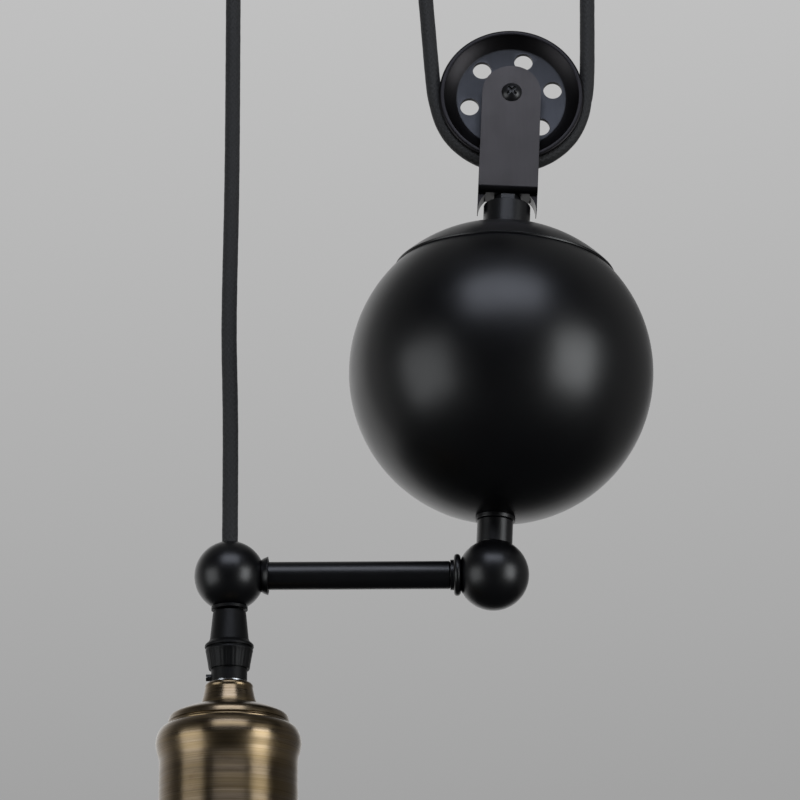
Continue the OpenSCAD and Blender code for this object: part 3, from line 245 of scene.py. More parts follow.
def aged_brass(name, axis_x, brushed_below):
    """Antique brass, turned round its axis, browner in bands, brushed below a height in mm."""
    finish, tree, shader = start_finish(name, metallic=1.0)
    here = add(tree, "TexCoord")
    centred = add(tree, "Mapping", {"Vector": (here, "Object"), "Location": (-axis_x * MM, 0, 0)})
    parts = add(tree, "SeparateXYZ", {"Vector": (centred, "Vector")})

    def by_height(low, high, to_low, to_high):
        """A value that changes between two heights in mm, from the brushed part's top."""
        edge = brushed_below + low, brushed_below + high
        made = spread(tree, (parts, "Z"), edge[0] * MM, edge[1] * MM, to_low, to_high)
        return made, "Result"

    # Fine turned lines and broad bands, drawn out round the axis
    angle = math_node(tree, "ARCTAN2", (parts, "Y"), (parts, "X"))
    slow_turn = math_node(tree, "MULTIPLY", (angle, 0), 0.45)
    height = math_node(tree, "MULTIPLY", (parts, "Z"), 3200.0)
    flat = add(tree, "CombineXYZ", {"X": (slow_turn, 0), "Y": (height, 0), "Z": 0.0})
    lines = grain(tree, 1.0, 3, (flat, "Vector"), 0.7)
    broad_height = math_node(tree, "MULTIPLY", (parts, "Z"), 420.0)
    broad = add(tree, "CombineXYZ", {"X": (slow_turn, 0), "Y": (broad_height, 0), "Z": 3.0})
    bands = grain(tree, 1.0, 2, (broad, "Vector"), 0.5)
    fine = spread(tree, (lines, "Fac"), 0.35, 0.68, 0.0, 1.0)
    tint = blend_colours(tree, (fine, "Result"), rgba(86, 74, 57), rgba(113, 100, 83))
    wide = spread(tree, (bands, "Fac"), 0.45, 0.65, 0.0, 0.3)
    toned = blend_colours(tree, (wide, "Result"), (tint, 2), rgba(118, 99, 62))
    stain = spread(tree, (grain(tree, 160, 3), "Fac"), 0.6, 0.8, 0.0, 0.4)
    final = blend_colours(tree, (stain, "Result"), (toned, 2), rgba(70, 50, 34))
    into(tree, shader, "Base Color", final, 2)
    rough_bands = spread(tree, (bands, "Fac"), 0.35, 0.7, 0.2, 0.27)
    rough = math_node(tree, "ADD", by_height(-4, 2, 0.16, 0.05), (rough_bands, "Result"))
    into(tree, shader, "Roughness", rough, 0)
    # The brushing runs round the axis, so it spreads reflected light up and down
    shoulders = math_node(tree, "ADD", by_height(3, 5, 0.0, 0.6), by_height(9.5, 10.5, 0.0, -0.5))
    stretch = math_node(tree, "ADD", by_height(-4, 2, 0.95, 0.1), (shoulders, 0))
    into(tree, shader, "Anisotropic", stretch, 0)
    across = math_node(tree, "MULTIPLY", (parts, "Y"), -1.0)
    round_axis = add(tree, "CombineXYZ", {"X": (across, 0), "Y": (parts, "X"), "Z": 0.0})
    into(tree, shader, "Tangent", round_axis, "Vector")
    shader.inputs["Anisotropic Rotation"].default_value = 0.25
    brushed = math_node(tree, "MULTIPLY", (lines, "Fac"), by_height(-4, 2, 1.0, 0.25))
    bump(tree, shader, (brushed, 0), 0.00004, 0.6)
    return finish


def braid(name, colour, strands=10):
    """A braided cotton sleeve on the piece's own UV map: u round the cord, v along it."""
    finish, tree, shader = start_finish(
        name, roughness=0.7, specular_ior_level=0.25, sheen_weight=0.06
    )
    uv = add(tree, "UVMap", uv_map="cord")
    parts = add(tree, "SeparateXYZ", {"Vector": (uv, "UV")})
    round_it = math_node(tree, "MULTIPLY", (parts, "X"), float(strands))
    along = math_node(tree, "MULTIPLY", (parts, "Y"), float(strands) * 0.8)
    one = math_node(tree, "ADD", (round_it, 0), (along, 0))
    other = math_node(tree, "SUBTRACT", (round_it, 0), (along, 0))
    crowns = []
    for family in (one, other):
        part = math_node(tree, "FRACT", (family, 0))
        half_turn = math_node(tree, "MULTIPLY", (part, 0), math.pi)
        crowns.append(math_node(tree, "SINE", (half_turn, 0)))
    both = add(tree, "CombineXYZ", {"X": (one, 0), "Y": (other, 0), "Z": 0.5})
    checker = add(tree, "TexChecker", {"Vector": (both, "Vector"), "Scale": 1.0})
    first = math_node(tree, "MULTIPLY", (crowns[0], 0), (checker, "Fac"))
    rest = math_node(tree, "SUBTRACT", 1.0, (checker, "Fac"))
    second = math_node(tree, "MULTIPLY", (crowns[1], 0), (rest, 0))
    height = math_node(tree, "ADD", (first, 0), (second, 0))
    fibres = grain(tree, 3500, 2)
    fuzz = math_node(tree, "MULTIPLY_ADD", (fibres, "Fac"), 0.5, (height, 0))
    # Painted shade: the valleys between the strands are darker, down to 0.45 of the cord's colour;
    # the fibres' noise also varies the tone at random
    valley_shade = spread(tree, (fuzz, 0), 0.2, 1.2, 0.0, 1.0)
    tint = blend_colours(tree, (valley_shade, "Result"), scaled(colour, 0.45), colour)
    into(tree, shader, "Base Color", tint, 2)
    bump(tree, shader, (fuzz, 0), 0.00012, 0.7)
    return finish


def moulded(name, colour, low_rough, high_rough):
    """Moulded plastic: a fine spark texture with slow changes of gloss."""
    finish, tree, shader = start_finish(name, specular_ior_level=0.12)
    slow = grain(tree, 90, 3)
    rough = spread(tree, (slow, "Fac"), 0.3, 0.7, low_rough, high_rough)
    into(tree, shader, "Roughness", rough, "Result")
    tint = blend_colours(tree, (grain(tree, 900, 2), "Fac"), scaled(colour, 0.8), colour)
    into(tree, shader, "Base Color", tint, 2)
    bump(tree, shader, (grain(tree, 4000, 2), "Fac"), 0.00002, 0.5)
    return finish


def plain_metal(name, dull, bright, low_rough, high_rough):
    """Plated or turned metal: cloudy plating, fine scratches every way, some dulling."""
    finish, tree, shader = start_finish(name, metallic=1.0)
    clouds = spread(tree, (grain(tree, 220, 4), "Fac"), 0.35, 0.65, 0.0, 1.0)
    tint = blend_colours(tree, (clouds, "Result"), dull, bright)
    into(tree, shader, "Base Color", tint, 2)
    rough = spread(tree, (grain(tree, 120, 5), "Fac"), 0.3, 0.7, low_rough, high_rough)
    into(tree, shader, "Roughness", rough, "Result")
    bump(tree, shader, (grain(tree, 2200, 3), "Fac"), 0.00002, 0.4)
    return finish


def glazed(name, colour):
    """Glazed porcelain with faint specks and a soft unevenness of the glaze."""
    finish, tree, shader = start_finish(
        name, roughness=0.14, coat_weight=0.6, coat_roughness=0.05
    )
    specks = spread(tree, (grain(tree, 1400, 1), "Fac"), 0.76, 0.79, 0.0, 0.5)
    warm = blend_colours(tree, (grain(tree, 60, 3), "Fac"), colour, rgba(226, 220, 206))
    tint = blend_colours(tree, (specks, "Result"), (warm, 2), rgba(150, 138, 120))
    into(tree, shader, "Base Color", tint, 2)
    bump(tree, shader, (grain(tree, 180, 2), "Fac"), 0.0001, 0.3)
    return finish


BLACK = satin_paint("satin_black_paint", (0.0009, 0.0009, 0.0012, 1), 0.32, 0.37)
PLATE = dark_plate("blackened_plate", rgba(62, 60, 60))
WHEEL = dark_plate("blackened_wheel", rgba(54, 55, 58))
# Painted shade: a darker copy of the blackened steel, for the pulleys' cones and rims and the
# yokes' bends and lips
SHADED_PLATE = dark_plate("painted_shade_plate", rgba(32, 31, 32), 0.34, 0.42)
SCREW = satin_paint("blackened_screw", (0.004, 0.004, 0.0045, 1), 0.28, 0.4)
BRASS = aged_brass("antique_brass", LAMP_X, LAMP_Z - 48)
CORD = braid("black_braid", (0.0094, 0.0093, 0.0092, 1))
PLASTIC = moulded("black_moulding", (0.0014, 0.0014, 0.0015, 1), 0.42, 0.52)
# Real black bushing, and also painted shade on the walls of the pulleys' holes
BUSHING_AND_HOLE_SHADE = moulded("black_bushing_and_hole_shade", (0.0012, 0.0012, 0.0013, 1), 0.4, 0.5)
BLOCK = moulded("pale_block", rgba(222, 218, 208), 0.4, 0.5)
WIRE = moulded("brown_wire", rgba(98, 58, 34), 0.35, 0.45)
ZINC = plain_metal("zinc_plate", rgba(176, 178, 182), rgba(206, 208, 212), 0.24, 0.38)
IRON = plain_metal("turned_iron", rgba(96, 96, 98), rgba(126, 126, 128), 0.4, 0.55)
YELLOW_BRASS = plain_metal("bright_brass", rgba(196, 164, 96), rgba(220, 190, 122), 0.2, 0.32)
PORCELAIN = glazed("white_porcelain", rgba(236, 232, 222))


# ---------------------------------------------------------------- modelling
def arc(cx, cz, r, start, end, count=8):
    """Points of a circle's arc, its angles in degrees from the radius's direction."""
    steps = [math.radians(start + (end - start) * i / count) for i in range(count + 1)]
    return [(cx + r * math.cos(a), cz + r * math.sin(a)) for a in steps]


def object_from(mesh, name, place):
    """A scene object of a bmesh, moved to its place."""
    mesh.transform(place)
    data = bpy.data.meshes.new(name)
    mesh.to_mesh(data)
    mesh.free()
    made = bpy.data.objects.new(name, data)
    scene.collection.objects.link(made)
    return made


def smoothed(data, sharp):
    """Smooth shading, with the edges that are sharper than an angle left hard."""
    data.shade_smooth()
    data.set_sharp_from_angle(angle=math.radians(sharp))


def bevelled(made, width, segments, sharp):
    """Softens the edges that are sharper than an angle."""
    edge = made.modifiers.new("soft edges", "BEVEL")
    edge.width = width * MM
    edge.segments = segments
    edge.limit_method = "ANGLE"
    edge.angle_limit = math.radians(sharp)
    edge.harden_normals = True


def softened(made, width, segments=2, sharp=32):
    """A mesh that was cut, made smooth again with its edges softened."""
    smoothed(made.data, sharp)
    bevelled(made, width, segments, sharp)


def piece_from(mesh, name, place, finish, body, stands_for=(), soften=0.0, segments=2, sharp=32):
    """Turns a bmesh into a finished piece, in place, softened at its edges and riding on a body."""
    made = object_from(mesh, name, place)
    smoothed(made.data, sharp)
    made.data.materials.append(finish)
    if soften:
        bevelled(made, soften, segments, sharp)
    if body:
        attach(made, body)
    if stands_for:
        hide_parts(*stands_for)
    return made


def spun(outline, steps=96):
    """A bmesh of an outline of (radius, height) in mm, spun round Z."""
    mesh = bmesh.new()
    points = [mesh.verts.new((r * MM, 0, z * MM)) for r, z in outline]
    lines = [mesh.edges.new(pair) for pair in zip(points, points[1:])]
    if outline[0][0] > 0 or outline[-1][0] > 0:
        lines.append(mesh.edges.new((points[-1], points[0])))
    bmesh.ops.spin(
        mesh,
        geom=points + lines,
        cent=(0, 0, 0),
        axis=(0, 0, 1),
        angle=math.tau,
        steps=steps,
        use_merge=True,
    )
    bmesh.ops.remove_doubles(mesh, verts=mesh.verts, dist=2e-6)
    bmesh.ops.recalc_face_normals(mesh, faces=mesh.faces)
    return mesh


def turned(name, outline, place, finish, body, stands_for, soften=0.15, steps=96, **more):
    """A piece turned on a lathe."""
    return piece_from(spun(outline, steps), name, place, finish, body, stands_for, soften, **more)


def sleeve(name, radius, top, foot, place, body, node, soften=0.3):
    """A plain black tube round the rod, between two heights."""
    outline = [(ROD_HOLE, top), (radius, top), (radius, foot), (ROD_HOLE, foot)]
    turned(name, outline, place, BLACK, body, (node,), soften, segments=3)


def fixed(made):
    """Applies an object's modifiers to its mesh."""
    bpy.context.view_layer.update()
    shaped = made.evaluated_get(bpy.context.evaluated_depsgraph_get())
    result = bpy.data.meshes.new_from_object(shaped)
    made.modifiers.clear()
    made.data = result


def joined(made, operation, others):
    """made with the other bodies cut from it or joined to it."""
    for other in others:
        step = made.modifiers.new("join", "BOOLEAN")
        step.operation = operation
        step.solver = "EXACT"
        step.object = other
    fixed(made)
    for other in others:
        bpy.data.objects.remove(other)


def bored(made, cutters):
    """made with holes cut in it."""
    joined(made, "DIFFERENCE", cutters)


def rod(radius, length, place, sides=32):
    """A plain cylinder along Z about place's origin, used to cut holes."""
    mesh = bmesh.new()
    bmesh.ops.create_cone(
        mesh,
        cap_ends=True,
        segments=sides,
        radius1=radius * MM,
        radius2=radius * MM,
        depth=length * MM,
    )
    return object_from(mesh, "cutter", place)


def eased(node, finish, width, body, segments=2, sharp=30):
    """A CAD node's own shape with its edges eased."""
    mesh = bmesh.new()
    mesh.from_mesh(nodes[node].data)
    bmesh.ops.remove_doubles(mesh, verts=mesh.verts, dist=2e-6)
    bmesh.ops.dissolve_limit(
        mesh, angle_limit=math.radians(1), verts=mesh.verts, edges=mesh.edges, delimit={"NORMAL"}
    )
    return piece_from(
        mesh, node + "_eased", Matrix.Identity(4), finish, body, (node,), width, segments, sharp
    )


def repaint(finish, *names):
    """Gives CAD nodes that stay as they are a finish."""
    for name in names:
        data = nodes[name].data
        data.materials.clear()
        data.materials.append(finish)


# -------------------------------------------------------------------- cords
def cord_tube(route, side_way, sides=24, wander=0.03):
    """A tube of cord on a route in mm, with a UV map: u round it, v along it in girths."""
    mesh = bmesh.new()
    uv = mesh.loops.layers.uv.new("cord")
    girth = 2 * math.pi * CORD_R
    along, rings, travelled = [], [], 0.0
    for i, point in enumerate(route):
        if i:
            travelled += (point - route[i - 1]).length
        ahead = (route[min(i + 1, len(route) - 1)] - route[max(i - 1, 0)]).normalized()
        across = ahead.cross(side_way).normalized()
        deep = ahead.cross(across)
        swell = math.sin(travelled * 0.9) * math.sin(travelled * 0.37 + 1)
        radius = CORD_R - 0.04 + wander * swell
        ring = []
        for k in range(sides):
            angle = k * math.tau / sides
            off = math.cos(angle) * across + math.sin(angle) * deep
            ring.append(mesh.verts.new((point + radius * off) * MM))
        rings.append(ring)
        along.append(travelled / girth)
    for i in range(len(rings) - 1):
        for k in range(sides):
            j = (k + 1) % sides
            face = mesh.faces.new((rings[i][k], rings[i + 1][k], rings[i + 1][j], rings[i][j]))
            corners = ((k, i), (k, i + 1), (k + 1, i + 1), (k + 1, i))
            for loop, (u, v) in zip(face.loops, corners):
                loop[uv].uv = (u / sides, along[v])
    for ring in (rings[0], rings[-1]):
        mesh.faces.new(ring)
    bmesh.ops.recalc_face_normals(mesh, faces=mesh.faces)
    return mesh


def straight(start, end, step=1.6):
    """Points on a line, no further apart than a step in mm."""
    start, end = Vector(start), Vector(end)
    count = math.ceil((end - start).length / step)
    return [start.lerp(end, i / count) for i in range(count + 1)]


def bend(x, z, start, end, count=48):
    """Points of the cord's line round a pulley, between two angles in degrees."""
    angles = [math.radians(start + (end - start) * i / count) for i in range(count + 1)]
    return [Vector((x + LINE_R * math.cos(a), 0, z + LINE_R * math.sin(a))) for a in angles]


def lay_cord(
    name, node, route, body=None, blend_to=None, side_way=Vector((0, 1, 0))
):
    """A stretch of cord that rides on a body, or, with blend_to given, rides on none and has its
    place baked into its mesh.
    """
    mesh = cord_tube(route, side_way)
    made = piece_from(mesh, name, Matrix.Identity(4), CORD, body, (), sharp=60)
    if blend_to:
        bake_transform(made)
    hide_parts(node)


# Most, start and reach of each stretch's bow, in mm, and where both have faded
LEFT_BOW, RIGHT_BOW, BOW_FADE = (1.35, 2.5, 4.0), (1.25, 0.5, 5.0), 70
# Under the pulley: how far the cord lies to the left, and height and reach of its two ends
TO_LEFT, LEFT_END, RIGHT_END = 0.3, (0.3, 2.5), (0.42, 5)
# The lamp's stretch: height of its set, how far it goes to the left, reach above and below
SET_Z, SET_BY, SET_ABOVE, SET_BELOW = -457.0, 0.72, 38, 24


def bow(distance, most, start, reach):
    """How far a stiff cord stands off its straight line, at a distance above the lower pulley."""
    rise_off = 1 - math.exp(-(distance + start) / reach)
    return most * rise_off * math.exp(-((distance / BOW_FADE) ** 1.2))


def bowed(top, foot, across, most, start, reach):
    """A stretch of the loop from its top to its foot, bowed outwards near the pulley."""
    route = straight(top, foot)
    return [p + across * bow((p - route[-1]).length, most, start, reach) for p in route]


left_degrees, right_degrees = math.degrees(LEFT_LEAN), math.degrees(RIGHT_LEAN)
over_top = bend(TOP_X, TOP_Z, left_degrees, 180)
seated = bend(WEIGHT_X, WEIGHT_Z, 180 + left_degrees, 360 - right_degrees)
outward_left = Vector((-math.cos(LEFT_LEAN), 0, -math.sin(LEFT_LEAN)))
outward_right = Vector((math.cos(RIGHT_LEAN), 0, -math.sin(RIGHT_LEAN)))
left_route = bowed(over_top[0], seated[0], outward_left, *LEFT_BOW)
right_route = bowed((ANCHOR_X, 0, ANCHOR_Z), seated[-1], outward_right, *RIGHT_BOW)
# Under the pulley the cord lies a little to the left and eases into both stretches
under_weight = []
for point in seated:
    radial = (point - Vector((WEIGHT_X, 0, WEIGHT_Z))).normalized()
    from_left, from_right = (point - seated[0]).length, (point - seated[-1]).length
    push = -TO_LEFT * radial.x + LEFT_END[0] * math.exp(-from_left / LEFT_END[1])
    push += RIGHT_END[0] * math.exp(-from_right / RIGHT_END[1])
    under_weight.append(point + radial * push)
# The lamp's stretch keeps a slight set to the left
lamp_route = []
for point in straight(over_top[-1], (LAMP_X, 0, LAMP_Z)):
    off = point.z - SET_Z
    reach = SET_ABOVE if off > 0 else SET_BELOW
    lamp_route.append(point + Vector((-SET_BY * math.exp(-((off / reach) ** 2)), 0, 0)))
lay_cord("cord_to_lamp", "lamp_cord", lamp_route, blend_to="lamp")
lay_cord("cord_left", "left_leg", left_route, blend_to="counterweight")
lay_cord("cord_right", "right_leg", right_route, blend_to="counterweight")
lay_cord("cord_over_pulley", "top_wrap", over_top, "ceiling")
lay_cord("cord_under_pulley", "bottom_wrap", under_weight, "counterweight")

# ------------------------------------------------------- ball and its fittings
SEAM, LID_R, LID_WALL, SHELL_WALL = 34.5, 50.7, 0.6, 1.2
LID_FLAT_R, RING_R, RING_H, NECK_R = 8.2, 6.45, 1.6, 5.8
lid_seat = math.sqrt(LID_R**2 - LID_FLAT_R**2)
ring_seat = math.sqrt(BALL_R**2 - RING_R**2)
seam_angle = math.degrees(math.asin(SEAM / LID_R))
seat_angle = math.degrees(math.asin(lid_seat / LID_R))
turned(
    "counterweight_lid",
    arc(0, 0, LID_R, seam_angle + 0.35, seat_angle, 40)
    + [(ROD_HOLE, lid_seat), (ROD_HOLE, lid_seat - 1.0)]
    + arc(0, 0, LID_R - LID_WALL, seat_angle - 0.4, seam_angle, 40)
    + [(math.sqrt(LID_R**2 - SEAM**2) - 0.35, SEAM)],
    BALL,
    BLACK,
    "counterweight",
    ("ball_lid",),
    0.12,
    steps=160,
    sharp=40,
)
low_angle = -math.degrees(math.asin(ring_seat / BALL_R))
lap_angle = math.degrees(math.asin((SEAM + 2.5) / BALL_R))
turned(
    "counterweight_ball",
    arc(0, 0, BALL_R, low_angle, lap_angle, 96)
    + arc(0, 0, BALL_R - SHELL_WALL, lap_angle, low_angle + 2, 64)
    + [(ROD_HOLE, -ring_seat + 1.6), (ROD_HOLE, -ring_seat)],
    BALL,
    BLACK,
    "counterweight",
    ("ball_shell",),
    0,
    steps=160,
    sharp=40,
)
neck_top, seat_z = -YOKE_DROP - FOOT_NUT, -BALL_DROP - ring_seat
ring_foot, elbow_seat = seat_z - RING_H, math.sqrt(ELBOW_R**2 - NECK_R**2)
lid_z = lid_seat - BALL_DROP
sleeve("upper_neck", COLLAR_R, neck_top, lid_z, WEIGHT, "counterweight", "weight_collar")
sleeve("ball_foot_ring", RING_R, seat_z, ring_foot, WEIGHT, "counterweight", "seat_ring")
neck_foot = elbow_seat - ELBOW_DROP
sleeve("lower_neck", NECK_R, ring_foot, neck_foot, WEIGHT, "counterweight", "neck_collar", 0.25)

# ---------------------------------------------------------------- guide arm
FACE_R, WASHER, STUD_R = 4.9, 2.2, 2.5
elbow_face = math.sqrt(ELBOW_R**2 - FACE_R**2)
elbow_top = math.degrees(math.asin(elbow_seat / ELBOW_R))
elbow = turned(
    "elbow_ball_skin",
    [(0, -ELBOW_R)] + arc(0, 0, ELBOW_R, -88, elbow_top, 56) + [(0, elbow_seat)],
    ELBOW,
    BLACK,
    "counterweight",
    (),
    0,
)
bored(
    elbow,
    [
        rod(12, 12, ARM @ at(0, 0, elbow_face + 6)),
        rod(STUD_R, 12, ARM @ at(0, 0, 4.5 + 6)),
        rod(STUD_R, 12, ELBOW @ at(0, 0, 4.5 + 6)),
    ],
)
softened(elbow, 0.12, sharp=40)
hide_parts("elbow_ball")

step_from = elbow_face + WASHER
tube_from = step_from + 1.1
guide_face = ARM_L - math.sqrt(GUIDE_R**2 - FACE_R**2)
tube_to = guide_face - WASHER
turned(
    "elbow_washer_skin",
    [(ROD_HOLE, elbow_face)]
    + arc(6.75 - WASHER / 2, elbow_face + WASHER / 2, WASHER / 2, -90, 90, 12)
    + [(FACE_R, step_from), (FACE_R, tube_from), (ROD_HOLE, tube_from)],
    ARM,
    BLACK,
    "counterweight",
    ("elbow_washer",),
    0.1,
)
turned(
    "arm_skin",
    [(2.9, tube_from), (4.1, tube_from), (4.5, tube_from + 0.4), (4.5, tube_to), (2.9, tube_to)],
    ARM,
    BLACK,
    "counterweight",
    ("arm_tube",),
    0.12,
    sharp=40,
)
turned(
    "dished_washer",
    [
        (ROD_HOLE, guide_face),
        (5.2, guide_face),
        (5.75, guide_face - 0.9),
        (6.2, guide_face - 2.05),
        (6.05, tube_to),
        (5.75, guide_face - 2.15),
        (5.2, guide_face - 1.3),
        (4.7, guide_face - 1.15),
        (4.5, guide_face - 1.4),
        (4.5, tube_to),
        (ROD_HOLE, tube_to),
    ],
    ARM,
    BLACK,
    "counterweight",
    ("guide_washer",),
    0.1,
)
flat_angle = math.degrees(math.asin(GUIDE_FLAT / GUIDE_R))
guide = turned(
    "guide_ball_skin",
    arc(0, 0, GUIDE_R, -flat_angle, flat_angle, 56) + [(BUSH_R, GUIDE_FLAT), (BUSH_R, -GUIDE_FLAT)],
    GUIDE,
    BLACK,
    "counterweight",
    (),
    0,
)
bored(
    guide,
    [
        rod(12, 12, ARM @ at(0, 0, guide_face - 6)),
        rod(STUD_R, 6, ARM @ at(0, 0, ARM_L - BUSH_R - 0.4 - 3)),
    ],
)
softened(guide, 0.12, sharp=40)
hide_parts("guide_ball")
turned(
    "guide_bushing",
    [
        (3.2, GUIDE_FLAT),
        (3.5, GUIDE_FLAT + 0.3),
        (4.2, GUIDE_FLAT + 0.3),
        (BUSH_R, GUIDE_FLAT),
        (BUSH_R, -GUIDE_FLAT),
        (5.8, -GUIDE_FLAT),
        (5.8, -GUIDE_FLAT - BUSH_LIP),
        (3.5, -GUIDE_FLAT - BUSH_LIP),
        (3.2, -GUIDE_FLAT - 0.8),
    ],
    GUIDE,
    BUSHING_AND_HOLE_SHADE,
    "counterweight",
    ("guide_bush",),
    0.15,
)


# ------------------------------------------------------------------ pulleys
def wheel(name, place, body, node):
    """A grooved pulley: rims with a small lip, a cone down to a flat web, six holes and a hub."""
    web_r, web, half, hub, rim_r = 18.8, 0.8, 3.8, 2.9, 24.8
    hole_r, pitch_r, phase, groove_r = 3.2, 14.6, 11.3, CORD_R + 0.3
    wide = math.degrees(math.acos((LINE_R - rim_r) / groove_r))
    side = [(4.05, hub), (7.0, hub), (7.0, web), (web_r - 0.5, web), (web_r, web + 0.15)]
    side += [(22.8, half - 0.35), (23.05, half - 0.08), (23.4, half), (24.0, half)]
    side += [(24.4, half - 0.12), (24.65, half - 0.35), (rim_r, half - 0.65)]
    outline = (
        [(r, -z) for r, z in side]
        + arc(LINE_R, 0, groove_r, 180 + wide, 180 - wide, 20)
        + side[::-1]
    )
    made = turned(name, outline, place, WHEEL, body, (), 0, steps=144)
    holes = [place @ turn(phase + i * 60, "Z") @ at(pitch_r, 0, 0) for i in range(6)]
    bored(made, [rod(hole_r, 12, hole, 40) for hole in holes])
    # Painted shade: the cone, the rims and the walls of the holes take darker finishes than the web
    made.data.materials.append(SHADED_PLATE)
    made.data.materials.append(BUSHING_AND_HOLE_SHADE)
    axle = place.to_translation()
    for face in made.data.polygons:
        off = face.center - axle
        out_by = math.hypot(off.x, off.z)
        hole_shade = abs(face.normal.y) < 0.3 and 10.5 * MM < out_by < 18 * MM
        face.material_index = 2 if hole_shade else 1 if out_by > (web_r + 0.2) * MM else 0
    softened(made, 0.1, 2, 28)
    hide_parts(node)


wheel("lower_pulley", WEIGHT_WHEEL, "weight_wheel", "weight_pulley")
wheel("upper_pulley", TOP_WHEEL, "top_wheel", "top_pulley")

YOKE_BEND = 2.2  # height of the base and its bend


def plate_yoke(place, body, node):
    """A bent strip with two round-ended arms, its base's lips and its holes."""
    made = eased(node, PLATE, 0.22, body, 3)
    # Painted shade: the bend and the lips under the base take a darker finish than the arms
    made.data.materials.append(SHADED_PLATE)
    into_axle = place.inverted()
    for face in made.data.polygons:
        face.material_index = int((into_axle @ face.center).z < -(YOKE_DROP - YOKE_BEND) * MM)


plate_yoke(WEIGHT, "counterweight", "weight_yoke")
plate_yoke(TOP, "ceiling", "top_yoke")
for node, body in (("weight_axle", "counterweight"), ("top_axle", "ceiling")):
    eased(node, SCREW, 0.1, body)


# ---------------------------------------------------------------- cord grips
def grip_cone(name, place, body, node):
    """The tapered cap that grips the cord."""
    turned(
        name,
        [
            (CORD_HOLE, -1.0),
            (3.0, 0.0),
            (4.7, 0.0),
            (5.2, -0.4),
            (5.35, -1.2),
            (6.15, -9.2),
            (6.55, -10.1),
            (7.45, -10.9),
            (7.75, -11.3),
            (7.75, -12.0),
            (CORD_HOLE, -12.0),
        ],
        place,
        PLASTIC,
        body,
        (node,),
        0.12,
        sharp=24,
    )


grip_cone("grip_cone", LAMP, "lamp", "grip_cap")
grip_cone("anchor_cone", ANCHOR, "ceiling", "anchor_cap")


def ribbed(mesh, low, high, ribs, depth):
    """Presses ribs into the outside of a spun mesh between two heights in mm."""
    for vertex in mesh.verts:
        if low < vertex.co.z / MM < high and vertex.co.xy.length > 3.2 * MM:
            swing = math.cos(ribs * math.atan2(vertex.co.y, vertex.co.x))
            press = depth * MM * (0.5 - 0.5 * swing) ** 1.5
            vertex.co.xy *= 1 - press / vertex.co.xy.length


grip = spun(
    [
        (CORD_HOLE, -12.0),
        (7.0, -12.0),
        (7.0, -12.3),
        (7.25, -12.3),
        (7.5, -12.6),
        (7.5, -13.2),
        (7.42, -13.4),
        (7.2, -14.6),
        (6.95, -16.0),
        (6.7, -17.4),
        (6.55, -18.6),
        (6.4, -19.0),
        (5.7, -19.0),
        (5.7, -22.8),
        (NIPPLE_R, -22.8),
        (NIPPLE_R, -16.8),
        (CORD_HOLE, -16.8),
    ],
    192,
)
ribbed(grip, -18.8, -13.3, 32, 0.07)
grip_body = piece_from(grip, "grip_ribs", LAMP, PLASTIC, "lamp", (), 0, sharp=50)
bored(grip_body, [rod(1.1, 6, LAMP @ at(-5, 0, -21.55) @ turn(90, "Y"))])
softened(grip_body, 0.08, 2, 50)
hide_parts("grip_body")
eased("lock_screw", SCREW, 0.1, "lamp")

# --------------------------------------------------------------- lampholder
NECK_FOOT, CAP_FOOT, CAP_WALL = -30.7, -37.5, 0.8
DOME_FROM, DOME_TO = 8.8, 18.0
turned(
    "brass_neck_skin",
    [(NIPPLE_R, NECK_FOOT), (8.0, NECK_FOOT), (8.5, NECK_FOOT - 0.12), (8.8, NECK_FOOT + 0.15)]
    + [(8.75, NECK_FOOT + 0.6), (8.5, NECK_FOOT + 1.5), (8.15, NECK_FOOT + 2.8), (7.65, -25.6)]
    + arc(6.5, -24.7, 1.1, -20, 90, 10)
    + [(NIPPLE_R, -23.6)],
    LAMP,
    BRASS,
    "lamp",
    ("brass_neck",),
    0,
    steps=128,
    sharp=35,
)


def dome(x):
    """Height of the cap's dome at a radius, from the neck's foot to its rolled rim."""
    start, end = math.radians(80), math.radians(62)
    r = (DOME_TO - DOME_FROM) / (math.cos(end) - math.cos(start))
    cx, cz = DOME_TO - r * math.cos(end), NECK_FOOT - r * math.sin(start)
    return cz + math.sqrt(r * r - (x - cx) ** 2)


# The rim is rolled: an upright band, a groove and a narrow bead over the shoulder
cap_line = [(x, dome(x)) for x in (8.6, 10, 11.5, 13, 14.4, 15.8, 17.2)]
rim_top = dome(DOME_TO)
cap_line += [(18.1, rim_top - 0.1), (18.5, rim_top - 0.5), (18.8, rim_top - 1.2)]
cap_line += [(18.95, -36.1), (18.7, -36.35), (18.65, -36.5), (18.95, -36.75), (19.05, -37.1)]
cap_line += [(18.95, CAP_FOOT + 0.1), (18.6, CAP_FOOT)]
turned(
    "cap_skin",
    [(NIPPLE_R, NECK_FOOT), (8.0, NECK_FOOT)]
    + cap_line
    + [(17.0, CAP_FOOT), (17.0, rim_top - CAP_WALL)]
    + [(x, dome(x) - CAP_WALL) for x in (16.5, 15, 12, 9, 8)]
    + [(NIPPLE_R, NECK_FOOT - CAP_WALL)],
    LAMP,
    BRASS,
    "lamp",
    ("holder_cap",),
    0,
    steps=160,
    sharp=38,
)


BODY_R, THREAD_R = 21.6, 19.3
SHOULDER_Z, SKIRT_FOOT, THREAD_FOOT = -42.9, -74.2, -91.2


def shoulder(t):
    """Radius above the widest place, t from 0 there to 1 under the cap."""
    return 22.8 - 4.0 * (1 - math.sqrt(max(0.0, 1 - t * t)))


def hip(t):
    """Radius below the widest place, t from 0 there to 1 at the straight body."""
    return BODY_R + 0.6 * (1 + math.cos(math.pi * t))


def turned_line(z):
    """A shallow line round the straight body."""
    half, deep = 0.35, BODY_R - 0.03
    return [(BODY_R, z + half), (deep, z + half * 0.3), (deep, z - half * 0.3), (BODY_R, z - half)]


